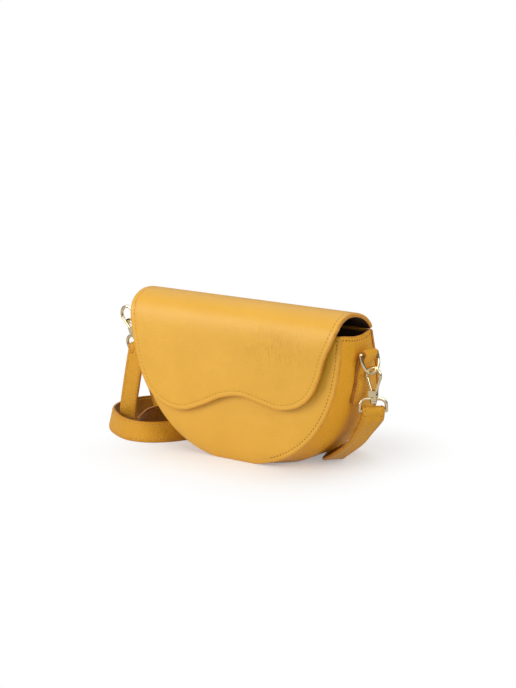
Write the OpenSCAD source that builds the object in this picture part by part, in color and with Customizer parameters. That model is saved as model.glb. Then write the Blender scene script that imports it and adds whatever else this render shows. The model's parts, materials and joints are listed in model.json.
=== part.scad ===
// Saddle handbag in firm leather: a rounded body, a wavy flap over the mouth, a hidden magnetic snap,
// a ring in a leather tab at each end, and a flat shoulder strap with a swivel hook at each end.
// X runs along the bag, the front faces -Y, +Z is up. The origin is the middle of the base on the floor.

/* [Body] */
// Half of the body's length at its widest
belly_half_w = 117; // [100:1:135]
// How far the widest place lies below the mouth's edge
belly_drop = 12.5; // [8:0.5:20]
// How far below the floor the round outline would reach, which makes the flat under the bag
base_flat_sink = 1.5; // [0.5:0.1:4]
// Squareness of the round outline: 2 is an ellipse
outline_power = 2.2; // [2:0.05:2.8]
// Widening of the outline from the belly to the mouth, on each side
mouth_flare = 3; // [0:0.5:6]
// Height of the mouth's edge
rim_z = 130.5; // [127:0.5:140]
// Depth of the body at the floor
base_depth = 100; // [80:1:115]
// Depth of the body at the mouth
rim_depth = 50.5; // [42:0.5:60]
// Thickness of the front and back leather
panel_t = 2.4; // [1.8:0.1:3]
// Thickness of the gusset's leather
gusset_t = 2; // [1.4:0.1:2.6]
// Width of the gusset's turned-in edges, which the panels are sewn to
flange_w = 9; // [7:0.5:12]
// Thickness of the lining
lining_t = 0.9; // [0.7:0.1:1.3]
// Depth of the slip pocket below the mouth's edge
pocket_drop = 38; // [30:1:50]
// Height of the slip pocket
pocket_h = 62; // [40:1:70]
// Half of the slip pocket's width
pocket_half_w = 62; // [40:1:70]
// Thickness of the slip pocket's leather
pocket_t = 1.2; // [0.8:0.1:1.6]

/* [Flap] */
// How far the flap's ends pass the body's widest place
flap_overhang = 1; // [-2:0.5:3]
// Thickness of the flap's outer leather
flap_outer_t = 2.2; // [1.6:0.1:2.6]
// Thickness of the flap's lining leather
flap_lining_t = 1.6; // [1.2:0.1:2]
// Height of the ridge above the crease
ridge_rise = 17.9; // [14:0.1:22]
// Space between the flap and the front panel
flap_stand_off = 5.2; // [4.6:0.1:7]
// Height from the crease down to the lower lobe of the flap
flap_h = 90; // [80:1:96]
// Gap between the flap's end and the edge that it turns over
crease_gap = 0.5; // [0.3:0.1:1]
// Height of the flap's tail, sewn to the back
tail_h = 26; // [18:1:34]
// Thickness of the flap's tail
tail_t = 2.2; // [1.6:0.1:2.6]

/* [Magnetic snap] */
// Height from the crease down to the snap
snap_drop = 49; // [44:1:56]
// Place of the snap along the bag
snap_x = 6; // [-10:1:20]
// Radius of the socket
socket_r = 9; // [8.5:0.1:10]
// Thickness of the socket
socket_t = 3; // [2.6:0.1:3.4]
// Radius of the socket's recess
recess_r = 6.2; // [6:0.1:7]
// Depth of the socket's recess
recess_depth = 2.3; // [2:0.1:2.4]
// Thickness of the magnet in the recess
magnet_t = 0.7; // [0.5:0.1:0.8]
// Radius of the stud
stud_r = 3.4; // [2.8:0.1:3.6]
// Radius of the washers behind the leather
washer_r = 8; // [7:0.1:8.4]
// Thickness of the washers
washer_t = 0.6; // [0.4:0.1:0.6]

/* [Rings and tabs] */
// Space on each side of a tab, to the ring's legs
ring_side_gap = 1.5; // [0.3:0.1:3]
// Depth of a ring, from the middle of its bar to the middle of its bow
ring_depth = 18; // [17:0.5:20]
// Radius of the ring's wire
ring_wire_r = 1.6; // [1.3:0.1:1.8]
// Width of a tab
tab_w = 19; // [16:0.5:19.5]
// Thickness of one layer of a tab
tab_layer_t = 2.1; // [1.6:0.1:2.4]
// Depth of the ring's bar below the mouth's edge
ring_bar_drop = 17.5; // [14.5:0.5:20.5]
// Distance from the gusset out to the ring's bar
ring_stand_off = 11.5; // [9:0.5:13]
// Length of a tab below the ring's bar
tab_h = 45; // [37:1:53]
// Angle of the right ring, out from hanging
ring_right_angle = 14; // [8:1:20]
// Angle of the left ring, out from hanging
ring_left_angle = 86; // [80:1:90]
// Radial clearance of every turning fit
fit = 0.05; // [0.02:0.01:0.09]

/* [Swivel hooks] */
// Radius of the hook's wire
hook_wire_r = 1.5; // [1.3:0.1:1.6]
// Radius of the eye's round top, to the middle of the wire
eye_r = 7.2; // [6.8:0.1:8]
// Height of the middle of the eye above the strap bar
eye_z = 32; // [31:0.5:35]
// Height of the strap loop
loop_h = 11; // [10.8:0.1:12]
// Radius of the bend at the loop's shoulders
loop_bend_r = 6; // [5:0.1:7]
// Height of the hook's collar
collar_h = 5.8; // [5.4:0.1:6.4]
// Half of the collar's width
collar_half_w = 3.9; // [3.7:0.1:4.4]
// Half of the collar's thickness
collar_half_t = 2.7; // [2.6:0.1:3.2]
// Radius of the swivel stem
stem_r = 1.6; // [1.4:0.1:1.8]
// Radius of the stem's knob
knob_r = 2.8; // [2.5:0.1:3.2]
// Radius of the gate's bar
gate_r = 1.3; // [1.1:0.1:1.4]
// Radius of the gate's pivot pin
gate_pin_r = 0.8; // [0.6:0.05:0.9]
// Gap at the gate's tip and round the swivel
running_gap = 0.3; // [0.2:0.05:0.4]
// Angle of the right hook's strap loop round the swivel
loop_turn = 40; // [25:1:50]
// Lean of the left hook, out from upright
left_lean = 24; // [18:1:28]

/* [Strap] */
// Width of the strap
strap_w = 20; // [18:0.5:20]
// Thickness of the strap, both layers
strap_t = 2.8; // [2.2:0.1:3]
// How far the strap's loop on the floor passes the body's widest place
lay_out = 70; // [60:1:85]
// Length of the strap's turned-back end on the left
left_lap = 66; // [50:1:70]

/* [Hidden] */

// Leather, lining and metal colours
tan_leather = [0.86, 0.62, 0.27];
tan_edge = [0.72, 0.47, 0.17];
dark_lining = [0.3, 0.19, 0.09];
pale_gold = [0.87, 0.78, 0.6];
steel = [0.7, 0.7, 0.7];

// Overrun of every cut
cut = 1;
arc_fn = 48;

// Right half of the body's outline, seen from the front, from the mouth down to the floor
belly_z = rim_z - belly_drop;
outline_h = belly_z + base_flat_sink;
floor_turn = asin(pow(belly_z / outline_h, outline_power / 2));
outline_steps = 40;
mouth_steps = 3;
function outline_x(z) = let (drop_share = max(0, belly_z - z) / outline_h)
  belly_half_w * pow(1 - pow(drop_share, outline_power), 1 / outline_power) + mouth_flare * pow(z / rim_z, 4);
function outline_z(i) = i <= mouth_steps
  ? rim_z - (rim_z - belly_z) * i / mouth_steps
  : belly_z - outline_h * pow(sin(floor_turn * (i - mouth_steps) / outline_steps), 2 / outline_power);
outline_right = [for (i = [0 : mouth_steps + outline_steps])
  let (z = max(0, outline_z(i))) [outline_x(z), z]];

// The right half of the outline, moved inwards by inset along its own normals
function inward(p, q) = let (d = q - p) [d[1], -d[0]] / norm(d);
function half_outline(inset) = let (n = len(outline_right) - 1) [
  for (i = [0 : n]) outline_right[i] + inset * (
    i == 0 ? inward(outline_right[0], outline_right[1])
    : i == n ? [0, 1]
    : inward(outline_right[i - 1], outline_right[i + 1]))];
function mirrored(points) = [for (i = [len(points) - 1 : -1 : 0]) [-points[i][0], points[i][1]]];
function whole_outline(inset) = concat(half_outline(inset), mirrored(half_outline(inset)));

// Upright planes and the back, which leans in towards the mouth
front_y = -base_depth / 2;
back_y = base_depth / 2;
back_lean = atan((base_depth - rim_depth) / rim_z);
big = 4 * (belly_half_w + base_depth + rim_z);

module along_y(y0, y1) {
  translate([0, y1, 0]) rotate([90, 0, 0]) linear_extrude(y1 - y0) children();
}
// Everything in front of the leaning plane that lies depth inside the back's outer face
module before_back(depth) {
  intersection() {
    children();
    translate([0, back_y, 0]) rotate([back_lean, 0, 0]) translate([-big / 2, -big - depth, -big / 2])
      cube(big);
  }
}
// The slab between two depths inside the back's outer face
module back_slab(depth0, depth1) {
  intersection() {
    children();
    translate([0, back_y, 0]) rotate([back_lean, 0, 0])
      translate([-big / 2, -depth1, -big / 2]) cube([big, depth1 - depth0, big]);
  }
}
// A sheet in the plane of the back, between two depths inside its outer face
module on_back(depth0, depth1) {
  translate([0, back_y, 0]) rotate([back_lean, 0, 0]) along_y(-depth1, -depth0) children();
}
module outline_solid(inset, y0, y1) {
  along_y(y0, y1) polygon(whole_outline(inset));
}
// A hollow that follows the outline and runs out through the mouth
module outline_well(inset, y0, y1) {
  half = half_outline(inset);
  top = [[half[0][0], rim_z + cut]];
  along_y(y0, y1) polygon(concat(top, half, mirrored(half), mirrored(top)));
}

module front_panel() {
  color(tan_leather) outline_solid(0, front_y, front_y + panel_t);
}
module back_panel() {
  color(tan_leather) back_slab(0, panel_t) outline_solid(0, front_y, back_y);
}
front_flange_y = front_y + panel_t;
module gusset() {
  color(tan_leather) difference() {
    before_back(panel_t) outline_solid(0, front_flange_y, back_y);
    before_back(panel_t + gusset_t) outline_well(gusset_t, front_flange_y + gusset_t, back_y);
    outline_well(flange_w, front_y, back_y + cut);
  }
}
lining_inset = flange_w + running_gap;
module front_lining() {
  color(dark_lining) difference() {
    outline_solid(lining_inset, front_flange_y, front_flange_y + lining_t);
    at_snap() along_y(front_y, front_flange_y + washer_t) circle(washer_r + running_gap, $fn = arc_fn);
  }
}
module back_lining() {
  color(dark_lining) back_slab(panel_t, panel_t + lining_t) outline_solid(lining_inset, front_y, back_y);
}
module gusset_lining() {
  color(dark_lining) before_back(panel_t + gusset_t) difference() {
    outline_solid(gusset_t, front_flange_y + gusset_t, back_y);
    outline_well(gusset_t + lining_t, front_y, back_y + cut);
  }
}
// A flat pocket sewn to the back lining
pocket_top_z = rim_z - pocket_drop;
module slip_pocket() {
  color(dark_lining) on_back(panel_t + lining_t, panel_t + lining_t + pocket_t)
    polygon(rounded_foot(pocket_half_w, pocket_top_z - pocket_h, pocket_top_z, flange_w));
}
// A plate with square upper corners and round lower ones
function arc_points(x, y, r, from, to, steps) =
  [for (i = [0 : steps]) let (a = from + (to - from) * i / steps) [x + r * cos(a), y + r * sin(a)]];
function rounded_foot(half_w, low, high, r) = concat(
  [[half_w, high]],
  arc_points(half_w - r, low + r, r, 0, -90, 8),
  arc_points(-half_w + r, low + r, r, -90, -180, 8),
  [[-half_w, high]]);

// The flap. Its side profile starts at the crease, passes over the ridge and hangs down the front.
flap_half_w = belly_half_w + flap_overhang;
flap_t = flap_outer_t + flap_lining_t;
crease_z = rim_z + crease_gap;
crease_y = back_y - rim_z * tan(back_lean) + tail_t / cos(back_lean);
flap_front_y = front_y - flap_stand_off - flap_t;
flap_reach = crease_y - flap_front_y;
// Shares of the reach forwards and of the ridge's rise, over the mouth
over_shares = [[0, 0], [0.022, 0.2], [0.08, 0.42], [0.19, 0.7], [0.36, 0.93], [0.53, 1],
               [0.69, 0.93], [0.84, 0.66], [0.945, 0.2]];
// Shares of the reach forwards and of the drop, down the front
front_shares = [[0.99, 0.08], [1, 0.26], [0.995, 0.55], [0.98, 0.84], [0.968, 1.06]];
flap_keys = concat(
  [for (s = over_shares) [crease_y - flap_reach * s[0], crease_z + ridge_rise * s[1]]],
  [for (s = front_shares) [crease_y - flap_reach * s[0], crease_z - flap_h * s[1]]]);

// A smooth curve through all keys, as points or as rows of any length
function blend_keys(a, b, c, d, t) =
  b + 0.5 * t * ((c - a) + t * ((2 * a - 5 * b + 4 * c - d) + t * (3 * (b - c) + d - a)));
function smooth(keys, steps) = let (n = len(keys)) concat(
  [for (i = [0 : n - 2]) for (j = [0 : steps - 1])
    blend_keys(keys[max(0, i - 1)], keys[i], keys[i + 1], keys[min(n - 1, i + 2)], j / steps)],
  [keys[n - 1]]);
function offset_line(points, d) = let (n = len(points) - 1) [
  for (i = [0 : n]) points[i] + d * inward(points[max(0, i - 1)], points[min(n, i + 1)])];

flap_line = smooth(flap_keys, 5);
// The flap's end is cut level, above the edge that it turns over
function cut_level(points) = let (
  below = [for (i = [0 : len(over_shares)]) if (points[i][1] < crease_z + running_gap) i],
  k = len(below))
  concat([[points[k][0], crease_z]], [for (i = [k : len(points) - 1]) points[i]]);
// A sheet of the flap between two depths inside its outer face
module flap_sheet(depth0, depth1) {
  outer = cut_level(offset_line(flap_line, -depth0));
  inner = cut_level(offset_line(flap_line, -depth1));
  intersection() {
    rotate([90, 0, 90]) translate([0, 0, -flap_half_w]) linear_extrude(2 * flap_half_w)
      polygon(concat(outer, [for (i = [len(inner) - 1 : -1 : 0]) inner[i]]));
    along_y(flap_front_y - flap_t, crease_y + flap_t) polygon(flap_outline);
  }
}
// The flap's edge seen from the front, from the right end round to the left, as shares of its
// half width and of its drop. The wave hangs lower on the left.
edge_shares = [
  [1, -0.08], [0.97, 0.06], [0.911, 0.235], [0.864, 0.43], [0.785, 0.63], [0.653, 0.766], [0.483, 0.818],
  [0.297, 0.782], [0.119, 0.742], [-0.068, 0.788], [-0.271, 0.908], [-0.46, 0.99], [-0.636, 0.975],
  [-0.785, 0.86], [-0.873, 0.674], [-0.932, 0.43], [-0.975, 0.141], [-1, -0.08]];
flap_edge = smooth([for (s = edge_shares) [flap_half_w * s[0], crease_z - flap_h * s[1]]], 5);
flap_outline = concat([[flap_half_w, crease_z + 2 * ridge_rise]], flap_edge,
                      [[-flap_half_w, crease_z + 2 * ridge_rise]]);
module flap_outer() {
  color(tan_leather) flap_sheet(0, flap_outer_t);
}
module flap_lining() {
  color(tan_edge) difference() {
    flap_sheet(flap_outer_t, flap_t);
    at_snap() along_y(flap_front_y, stud_root_y + washer_t + fit)
      circle(washer_r + running_gap, $fn = arc_fn);
    at_snap() along_y(flap_front_y, front_y) circle(stud_r + fit, $fn = arc_fn);
  }
}
// The flap's tail lies on the outside of the back
tail_top = rim_z / cos(back_lean);
tail_half_w = outline_x(rim_z - tail_h) - flange_w;
module flap_tail() {
  color(tan_leather) on_back(-tail_t, 0)
    polygon(rounded_foot(tail_half_w, tail_top - tail_h, tail_top - crease_gap, flange_w));
}

// Magnetic snap: the socket sits on the front panel, the stud under the flap
snap_z = crease_z - snap_drop;
// How far the flap's leather has come towards the panel at the snap's lower edge
flap_sag = flap_reach * 0.0095;
stud_root_y = flap_front_y + flap_outer_t + flap_sag;
module at_snap() {
  translate([snap_x, 0, snap_z]) children();
}
module snap_socket() {
  color(pale_gold) at_snap() difference() {
    along_y(front_y - socket_t, front_y) circle(socket_r, $fn = arc_fn);
    along_y(front_y - socket_t - cut, front_y - socket_t + recess_depth) circle(recess_r, $fn = arc_fn);
  }
}
magnet_y = front_y - socket_t + recess_depth - magnet_t;
module snap_magnet() {
  color(steel) at_snap() along_y(magnet_y, magnet_y + magnet_t) circle(recess_r - fit, $fn = arc_fn);
}
module socket_washer() {
  color(steel) at_snap() along_y(front_flange_y, front_flange_y + washer_t) circle(washer_r, $fn = arc_fn);
}
stud_tip_y = magnet_y - running_gap;
module snap_stud() {
  color(pale_gold) at_snap() along_y(stud_root_y + washer_t, stud_tip_y) circle(stud_r, $fn = arc_fn);
}
module stud_washer() {
  color(steel) at_snap() along_y(stud_root_y, stud_root_y + washer_t) circle(washer_r, $fn = arc_fn);
}

// Ends of the bag: everything here is built for the right end, and the left end mirrors it
module on_side(side) {
  if (side > 0) children();
  else mirror([1, 0, 0]) children();
}
ring_bar_z = rim_z - ring_bar_drop;
tab_low_z = ring_bar_z - tab_h;
// Middle of the gusset's width at the ring's height
ring_y = (front_y + back_y - ring_bar_z * tan(back_lean)) / 2;
ring_bar_x = outline_x(ring_bar_z) + ring_stand_off;
tunnel_r = ring_wire_r + fit + tab_layer_t;
tab_two_t = 2 * tab_layer_t;
tab_bend_z = ring_bar_z - ring_stand_off;
tab_steps = 12;
tab_foot_r = 0.32 * tab_w;
// The gusset's face between two heights, moved out by off
function gusset_face(low, high, off, steps) = [for (i = [0 : steps])
  let (z = low + (high - low) * i / steps, d = (high - low) / steps,
       n = inward([outline_x(z + d), z + d], [outline_x(z - d), z - d]))
  [outline_x(z), z] - off * n];
module ring_tab(side) {
  flat_face = gusset_face(tab_low_z, tab_bend_z, 2 * fit, tab_steps);
  top_face = gusset_face(tab_low_z, tab_bend_z, tab_two_t, tab_steps);
  flat_end = flat_face[tab_steps];
  color(tan_leather) on_side(side) difference() {
    union() {
      // Two layers sewn flat on the gusset, with a round lower end
      intersection() {
        along_y(ring_y - tab_w, ring_y + tab_w)
          polygon(concat(flat_face, [for (i = [tab_steps : -1 : 0]) top_face[i]]));
        translate([belly_half_w / 2, 0, 0]) rotate([90, 0, 90]) linear_extrude(belly_half_w)
          translate([ring_y, 0]) polygon(rounded_foot(tab_w / 2, tab_low_z, ring_bar_z, tab_foot_r));
      }
      // The layers part and go round the ring's bar
      along_y(ring_y - tab_w / 2, ring_y + tab_w / 2) polygon([
        flat_end, top_face[tab_steps],
        [ring_bar_x + tunnel_r * cos(-22), ring_bar_z + tunnel_r * sin(-22)],
        [ring_bar_x - tunnel_r * cos(-22), ring_bar_z - tunnel_r * sin(-22)]]);
      translate([ring_bar_x, ring_y + tab_w / 2, ring_bar_z]) rotate([90, 0, 0])
        cylinder(h = tab_w, r = tunnel_r, $fn = arc_fn);
    }
    translate([ring_bar_x, ring_y + tab_w, ring_bar_z]) rotate([90, 0, 0])
      cylinder(h = 2 * tab_w, r = ring_wire_r + fit, $fn = arc_fn);
  }
}
module ring_tab_right() { ring_tab(1); }
module ring_tab_left() { ring_tab(-1); }

// A ring: a straight bar along Y in the tab, two short legs and a round bow
bow_r = tab_w / 2 + ring_side_gap + ring_wire_r;
leg_h = ring_depth - bow_r;
module wire(length) { cylinder(h = length, r = ring_wire_r, $fn = arc_fn); }
module d_ring(side, angle) {
  color(pale_gold) on_side(side) translate([ring_bar_x, ring_y, ring_bar_z]) rotate([0, -angle, 0]) {
    translate([0, bow_r, 0]) rotate([90, 0, 0]) wire(2 * bow_r);
    for (y = [-bow_r, bow_r]) {
      translate([0, y, -leg_h]) wire(leg_h);
      translate([0, y, 0]) sphere(ring_wire_r, $fn = arc_fn);
    }
    translate([0, 0, -leg_h]) rotate([0, 90, 0]) rotate([0, 0, -90])
      rotate_extrude(angle = 180, $fn = 2 * arc_fn)
        translate([bow_r, 0]) circle(ring_wire_r, $fn = arc_fn / 2);
  }
}
module d_ring_right() { d_ring(1, ring_right_angle); }
module d_ring_left() { d_ring(-1, ring_left_angle); }

// Middle of each ring's bow, where a hook's eye hangs or stands on it
function bow_point(angle) = [ring_bar_x, ring_y, ring_bar_z] + ring_depth * [sin(angle), 0, -cos(angle)];
// Place of the bow in each eye: across the eye, and up from the strap bar
right_in_eye = [-0.14 * eye_r, eye_z + 0.3 * eye_r];
left_in_eye = [-0.14 * eye_r, eye_z - 0.9 * eye_r];
hook_right_at = bow_point(ring_right_angle) - [right_in_eye[0], 0, right_in_eye[1]];
// On the left, seen mirrored, the hook leans out by left_lean
function leaned(p) = [p[0] * cos(left_lean) + p[1] * sin(left_lean), 0,
                      p[1] * cos(left_lean) - p[0] * sin(left_lean)];
hook_left_at = bow_point(ring_left_angle) - leaned(left_in_eye);
module at_hook(side) {
  if (side > 0) translate(hook_right_at) children();
  else mirror([1, 0, 0]) translate(hook_left_at) rotate([0, left_lean, 0]) children();
}

// Strap loop: a bar for the strap, two shoulders and a boss that the stem turns in
bar_half_w = strap_w / 2 + running_gap + hook_wire_r;
boss_r = stem_r + 1.1 * hook_wire_r;
boss_low_z = loop_h - hook_wire_r;
boss_top_z = loop_h + hook_wire_r;
module rod(from, to, r) {
  d = to - from;
  translate(from) rotate([0, acos(d[2] / norm(d)), atan2(d[1], d[0])])
    cylinder(h = norm(d), r = r, $fn = arc_fn / 2);
}
module strap_loop(side) {
  color(pale_gold) at_hook(side) rotate([0, 0, side > 0 ? loop_turn : 0]) difference() {
    union() {
      rod([-bar_half_w, 0, 0], [bar_half_w, 0, 0], hook_wire_r);
      for (s = [-1, 1]) {
        translate([s * bar_half_w, 0, 0]) sphere(hook_wire_r, $fn = arc_fn / 2);
        rod([s * bar_half_w, 0, 0], [s * bar_half_w, 0, loop_h - loop_bend_r], hook_wire_r);
        translate([s * (bar_half_w - loop_bend_r), 0, loop_h - loop_bend_r]) rotate([90, 0, 0])
          rotate([0, 0, s > 0 ? 0 : 90]) rotate_extrude(angle = 90, $fn = 2 * arc_fn)
            translate([loop_bend_r, 0]) circle(hook_wire_r, $fn = arc_fn / 2);
      }
      rod([loop_bend_r - bar_half_w, 0, loop_h], [bar_half_w - loop_bend_r, 0, loop_h], hook_wire_r);
      rod([0, 0, boss_low_z], [0, 0, boss_top_z], boss_r);
    }
    rod([0, 0, 0], [0, 0, 2 * loop_h], stem_r + fit);
    rod([0, 0, hook_wire_r + fit], [0, 0, boss_low_z], knob_r + running_gap);
  }
}
module strap_loop_right() { strap_loop(1); }
module strap_loop_left() { strap_loop(-1); }

// Swivel stem: riveted in the collar above, with a knob inside the strap loop
collar_z = boss_top_z + running_gap;
knob_h = 1.9 * hook_wire_r;
knob_z = boss_low_z - running_gap - knob_h;
eye_out_r = 1.4 * gate_r;
gate_pivot_drop = 1.5 * gate_r;
// The slot's floor lies a running gap below the gate's eye
stem_seat_h = collar_h - gate_pivot_drop - eye_out_r - running_gap;
module swivel_stem(side) {
  color(pale_gold) at_hook(side) {
    rod([0, 0, knob_z + knob_h / 2], [0, 0, collar_z + stem_seat_h - fit], stem_r);
    rod([0, 0, knob_z + knob_h / 4], [0, 0, knob_z + knob_h], knob_r);
    translate([0, 0, knob_z]) cylinder(h = knob_h / 4, r1 = knob_r * 0.7, r2 = knob_r, $fn = arc_fn);
  }
}
module swivel_stem_right() { swivel_stem(1); }
module swivel_stem_left() { swivel_stem(-1); }

// Hook: a collar, a fixed leg, the round top and a nose that the gate closes against
leg_root = [0.55 * collar_half_w, collar_z + collar_h];
root_angle = atan2(leg_root[1] - eye_z, leg_root[0]);
nose_angle = root_angle + acos(eye_r / norm([leg_root[0], eye_z - leg_root[1]]));
nose = [eye_r * cos(nose_angle), eye_z + eye_r * sin(nose_angle)];
gate_pivot = [leg_root[0], leg_root[1] - gate_pivot_drop];
gate_dir = (nose - gate_pivot) / norm(nose - gate_pivot);
gate_l = norm(nose - gate_pivot) - running_gap;
slot_half_t = gate_r + running_gap;
module hook_body(side) {
  color(pale_gold) at_hook(side) difference() {
    union() {
      translate([0, 0, eye_z]) rotate([90, 0, 0]) rotate([0, 0, nose_angle])
        rotate_extrude(angle = 180 - 2 * nose_angle, $fn = 2 * arc_fn)
          translate([eye_r, 0]) circle(hook_wire_r, $fn = arc_fn / 2);
      rod([-nose[0], 0, nose[1]], [-leg_root[0], 0, leg_root[1] - hook_wire_r], hook_wire_r);
      intersection() {
        translate([-collar_half_w, -collar_half_t, collar_z])
          cube([2 * collar_half_w, 2 * collar_half_t, collar_h]);
        rod([0, 0, collar_z], [0, 0, collar_z + collar_h],
            norm([collar_half_w, collar_half_t]) - running_gap);
      }
    }
    // Seat of the stem, slot of the gate and bore of its pin
    rod([0, 0, collar_z - cut], [0, 0, collar_z + stem_seat_h], stem_r + fit);
    translate([gate_pivot[0] - 2 * gate_r, -slot_half_t, collar_z + stem_seat_h])
      cube([2 * collar_half_w, 2 * slot_half_t, collar_h]);
    rod([gate_pivot[0], -2 * collar_half_t, gate_pivot[1]], [gate_pivot[0], 2 * collar_half_t, gate_pivot[1]],
        gate_pin_r + fit);
  }
}
module hook_body_right() { hook_body(1); }
module hook_body_left() { hook_body(-1); }

// Gate: a bar on an eye that turns on the pin, beside its small spring
eye_from_y = -1.15 * gate_r;
eye_to_y = 0.2 * gate_r;
module hook_gate(side) {
  color(pale_gold) at_hook(side) difference() {
    union() {
      rod([gate_pivot[0], 0, gate_pivot[1]] + 0.9 * eye_out_r * [gate_dir[0], 0, gate_dir[1]],
          [gate_pivot[0], 0, gate_pivot[1]] + gate_l * [gate_dir[0], 0, gate_dir[1]], gate_r);
      rod([gate_pivot[0], eye_from_y, gate_pivot[1]], [gate_pivot[0], eye_to_y, gate_pivot[1]], eye_out_r);
    }
    rod([gate_pivot[0], -2 * gate_r, gate_pivot[1]], [gate_pivot[0], 2 * gate_r, gate_pivot[1]],
        gate_pin_r + fit);
  }
}
module hook_gate_right() { hook_gate(1); }
module hook_gate_left() { hook_gate(-1); }

module gate_pin(side) {
  color(pale_gold) at_hook(side)
    rod([gate_pivot[0], -collar_half_t, gate_pivot[1]], [gate_pivot[0], collar_half_t, gate_pivot[1]],
        gate_pin_r);
}
module gate_pin_right() { gate_pin(1); }
module gate_pin_left() { gate_pin(-1); }

// Two turns of spring wire round the pin, beside the gate's eye
spring_wire_r = (gate_r - eye_to_y - 3 * fit) / 3.6;
spring_r = gate_pin_r + fit + spring_wire_r;
module gate_spring(side) {
  color(steel) at_hook(side) for (turn = [0, 1])
    translate([gate_pivot[0], gate_r - spring_wire_r * (1 + 1.6 * turn), gate_pivot[1]]) rotate([90, 0, 0])
      rotate_extrude($fn = arc_fn) translate([spring_r, 0]) circle(spring_wire_r, $fn = arc_fn / 3);
}
module gate_spring_right() { gate_spring(1); }
module gate_spring_left() { gate_spring(-1); }

// The strap: one flat ribbon. Each row is its middle and the direction of its width.
wrap_r = hook_wire_r + running_gap + strap_t / 2;
bar_left = [-hook_left_at[0], hook_left_at[1], hook_left_at[2]];
bar_right = hook_right_at;
left_w = [cos(left_lean), 0, sin(left_lean)];
left_up = [-sin(left_lean), 0, cos(left_lean)];
right_w = [cos(loop_turn), sin(loop_turn), 0];
// The right end rises towards the front by this angle from upright
right_rise_lean = 33;
right_out = [sin(loop_turn), -cos(loop_turn), 0];
right_up = right_out * sin(right_rise_lean) + [0, 0, cos(right_rise_lean)];
right_front = right_out * cos(right_rise_lean) - [0, 0, sin(right_rise_lean)];
front = [0, -1, 0];
// Round a bar, from behind it over the top to the front, with a short straight lead at each end
function wrap_row(bar, ahead, above, w, a, lead) =
  [bar + wrap_r * (-cos(a) * ahead + (sin(a) - lead) * above), w];
function wrap_rows(bar, ahead, above, w, angles) = let (n = len(angles) - 1) concat(
  [wrap_row(bar, ahead, above, w, angles[0], 1)],
  [for (a = angles) wrap_row(bar, ahead, above, w, a, 0)],
  [wrap_row(bar, ahead, above, w, angles[n], 1)]);
// The turned-back end behind the left rise: shares of its length along X, behind and down
function left_lap_row(out_share, back_share, down_share, w) =
  [bar_left - wrap_r * front + left_lap * ([out_share, 0, 0] - back_share * front - down_share * left_up), w];
left_rows = concat(
  [left_lap_row(-0.14, 0.16, 1, [0.99, 0, 0.1]), left_lap_row(-0.06, 0.1, 0.55, [0.96, 0, 0.25]),
   left_lap_row(0, 0.03, 0.2, left_w)],
  wrap_rows(bar_left, front, left_up, left_w, [0, 45, 90, 135, 180]));

// The fall from the left hook: shares of its bar's height from the bar, then the width's direction
fall_shares = [
  [-0.0226, -0.0355, -0.2047, [0.97, 0, 0.24]],
  [-0.0778, -0.0312, -0.4547, [1, 0, 0.06]],
  [-0.1267, -0.0249, -0.6933, [1, 0, 0]],
  [-0.1586, 0.0176, -0.8455, [1, 0.05, 0.1]]];
// The lie on the floor: middle as shares of the lay's reach, along X and back from lay_y, and of the
// strap's width up from the floor, then the width's direction
lie_shares = [
  [-0.822, -0.008, 0.44, [0.86, 0, 0.5]],
  [-0.806, 0.068, 0.49, [0.5, 0, 0.86]],
  [-0.755, 0.15, 0.5, [0, 0, 1]],
  [-0.66, 0.212, 0.5, [0, 0, 1]],
  [-0.552, 0.212, 0.5, [0, 0, 1]],
  [-0.465, 0.152, 0.5, [0, 0, 1]],
  [-0.437, 0.06, 0.5, [0, 0, 1]],
  [-0.453, -0.035, 0.5, [0, 0, 1]],
  [-0.5, -0.12, 0.5, [-0.08, 0.12, 1]],
  [-0.577, -0.188, 0.5, [-0.1, 0.2, 1]],
  [-0.68, -0.207, 0.5, [0, 0.26, 1]],
  [-0.79, -0.165, 0.5, [0.08, 0.26, 1]],
  [-0.895, -0.093, 0.5, [0.16, 0.2, 1]],
  [-0.97, -0.005, 0.5, [0.2, 0.06, 1]],
  [-1, 0.11, 0.5, [0.1, 0, 1]],
  [-0.984, 0.235, 0.5, [0, 0, 1]],
  [-0.909, 0.342, 0.5, [0, 0, 1]],
  [-0.78, 0.405, 0.5, [0, 0, 1]],
  [-0.62, 0.428, 0.5, [0, 0, 1]],
  [-0.44, 0.435, 0.5, [0, 0, 1]],
  [-0.25, 0.44, 0.47, [0, 0.35, 0.93]],
  [-0.06, 0.44, 0.33, [0.05, 0.82, 0.57]],
  [0.1, 0.415, 0.13, [0.35, 0.93, 0.12]],
  [0.24, 0.355, 0.075, [0.62, 0.78, 0]],
  [0.318, 0.255, 0.075, [0.7, 0.72, 0]],
  [0.366, 0.145, 0.085, [0.7, 0.72, 0]],
  [0.424, 0.044, 0.25, [0.6, 0.8, 0]]];
// The rise to the right hook: shares of its bar's height from the bar
rise_shares = [
  [-0.681, 0.213, -0.78, [0.46, 0.89, 0]],
  [-0.436, 0.179, -0.5926, [0.42, 0.91, 0]],
  [-0.2494, 0.113, -0.3971, [0.46, 0.89, 0]],
  [-0.1054, 0.0497, -0.2439, [0.58, 0.81, 0]],
  [-0.014, -0.0052, -0.1303, [0.74, 0.67, 0]]];
function from_bar(bar, shares) = [for (s = shares) [bar + bar[2] * [s[0], s[1], s[2]], s[3]]];
lay_reach = belly_half_w + lay_out;
lay_y = front_y + 0.4 * base_depth;
lie_rows = concat(
  from_bar(bar_left, fall_shares),
  [for (s = lie_shares) [[s[0] * lay_reach, lay_y + s[1] * lay_reach, s[2] * strap_w], s[3]]],
  from_bar(bar_right, rise_shares));
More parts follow.
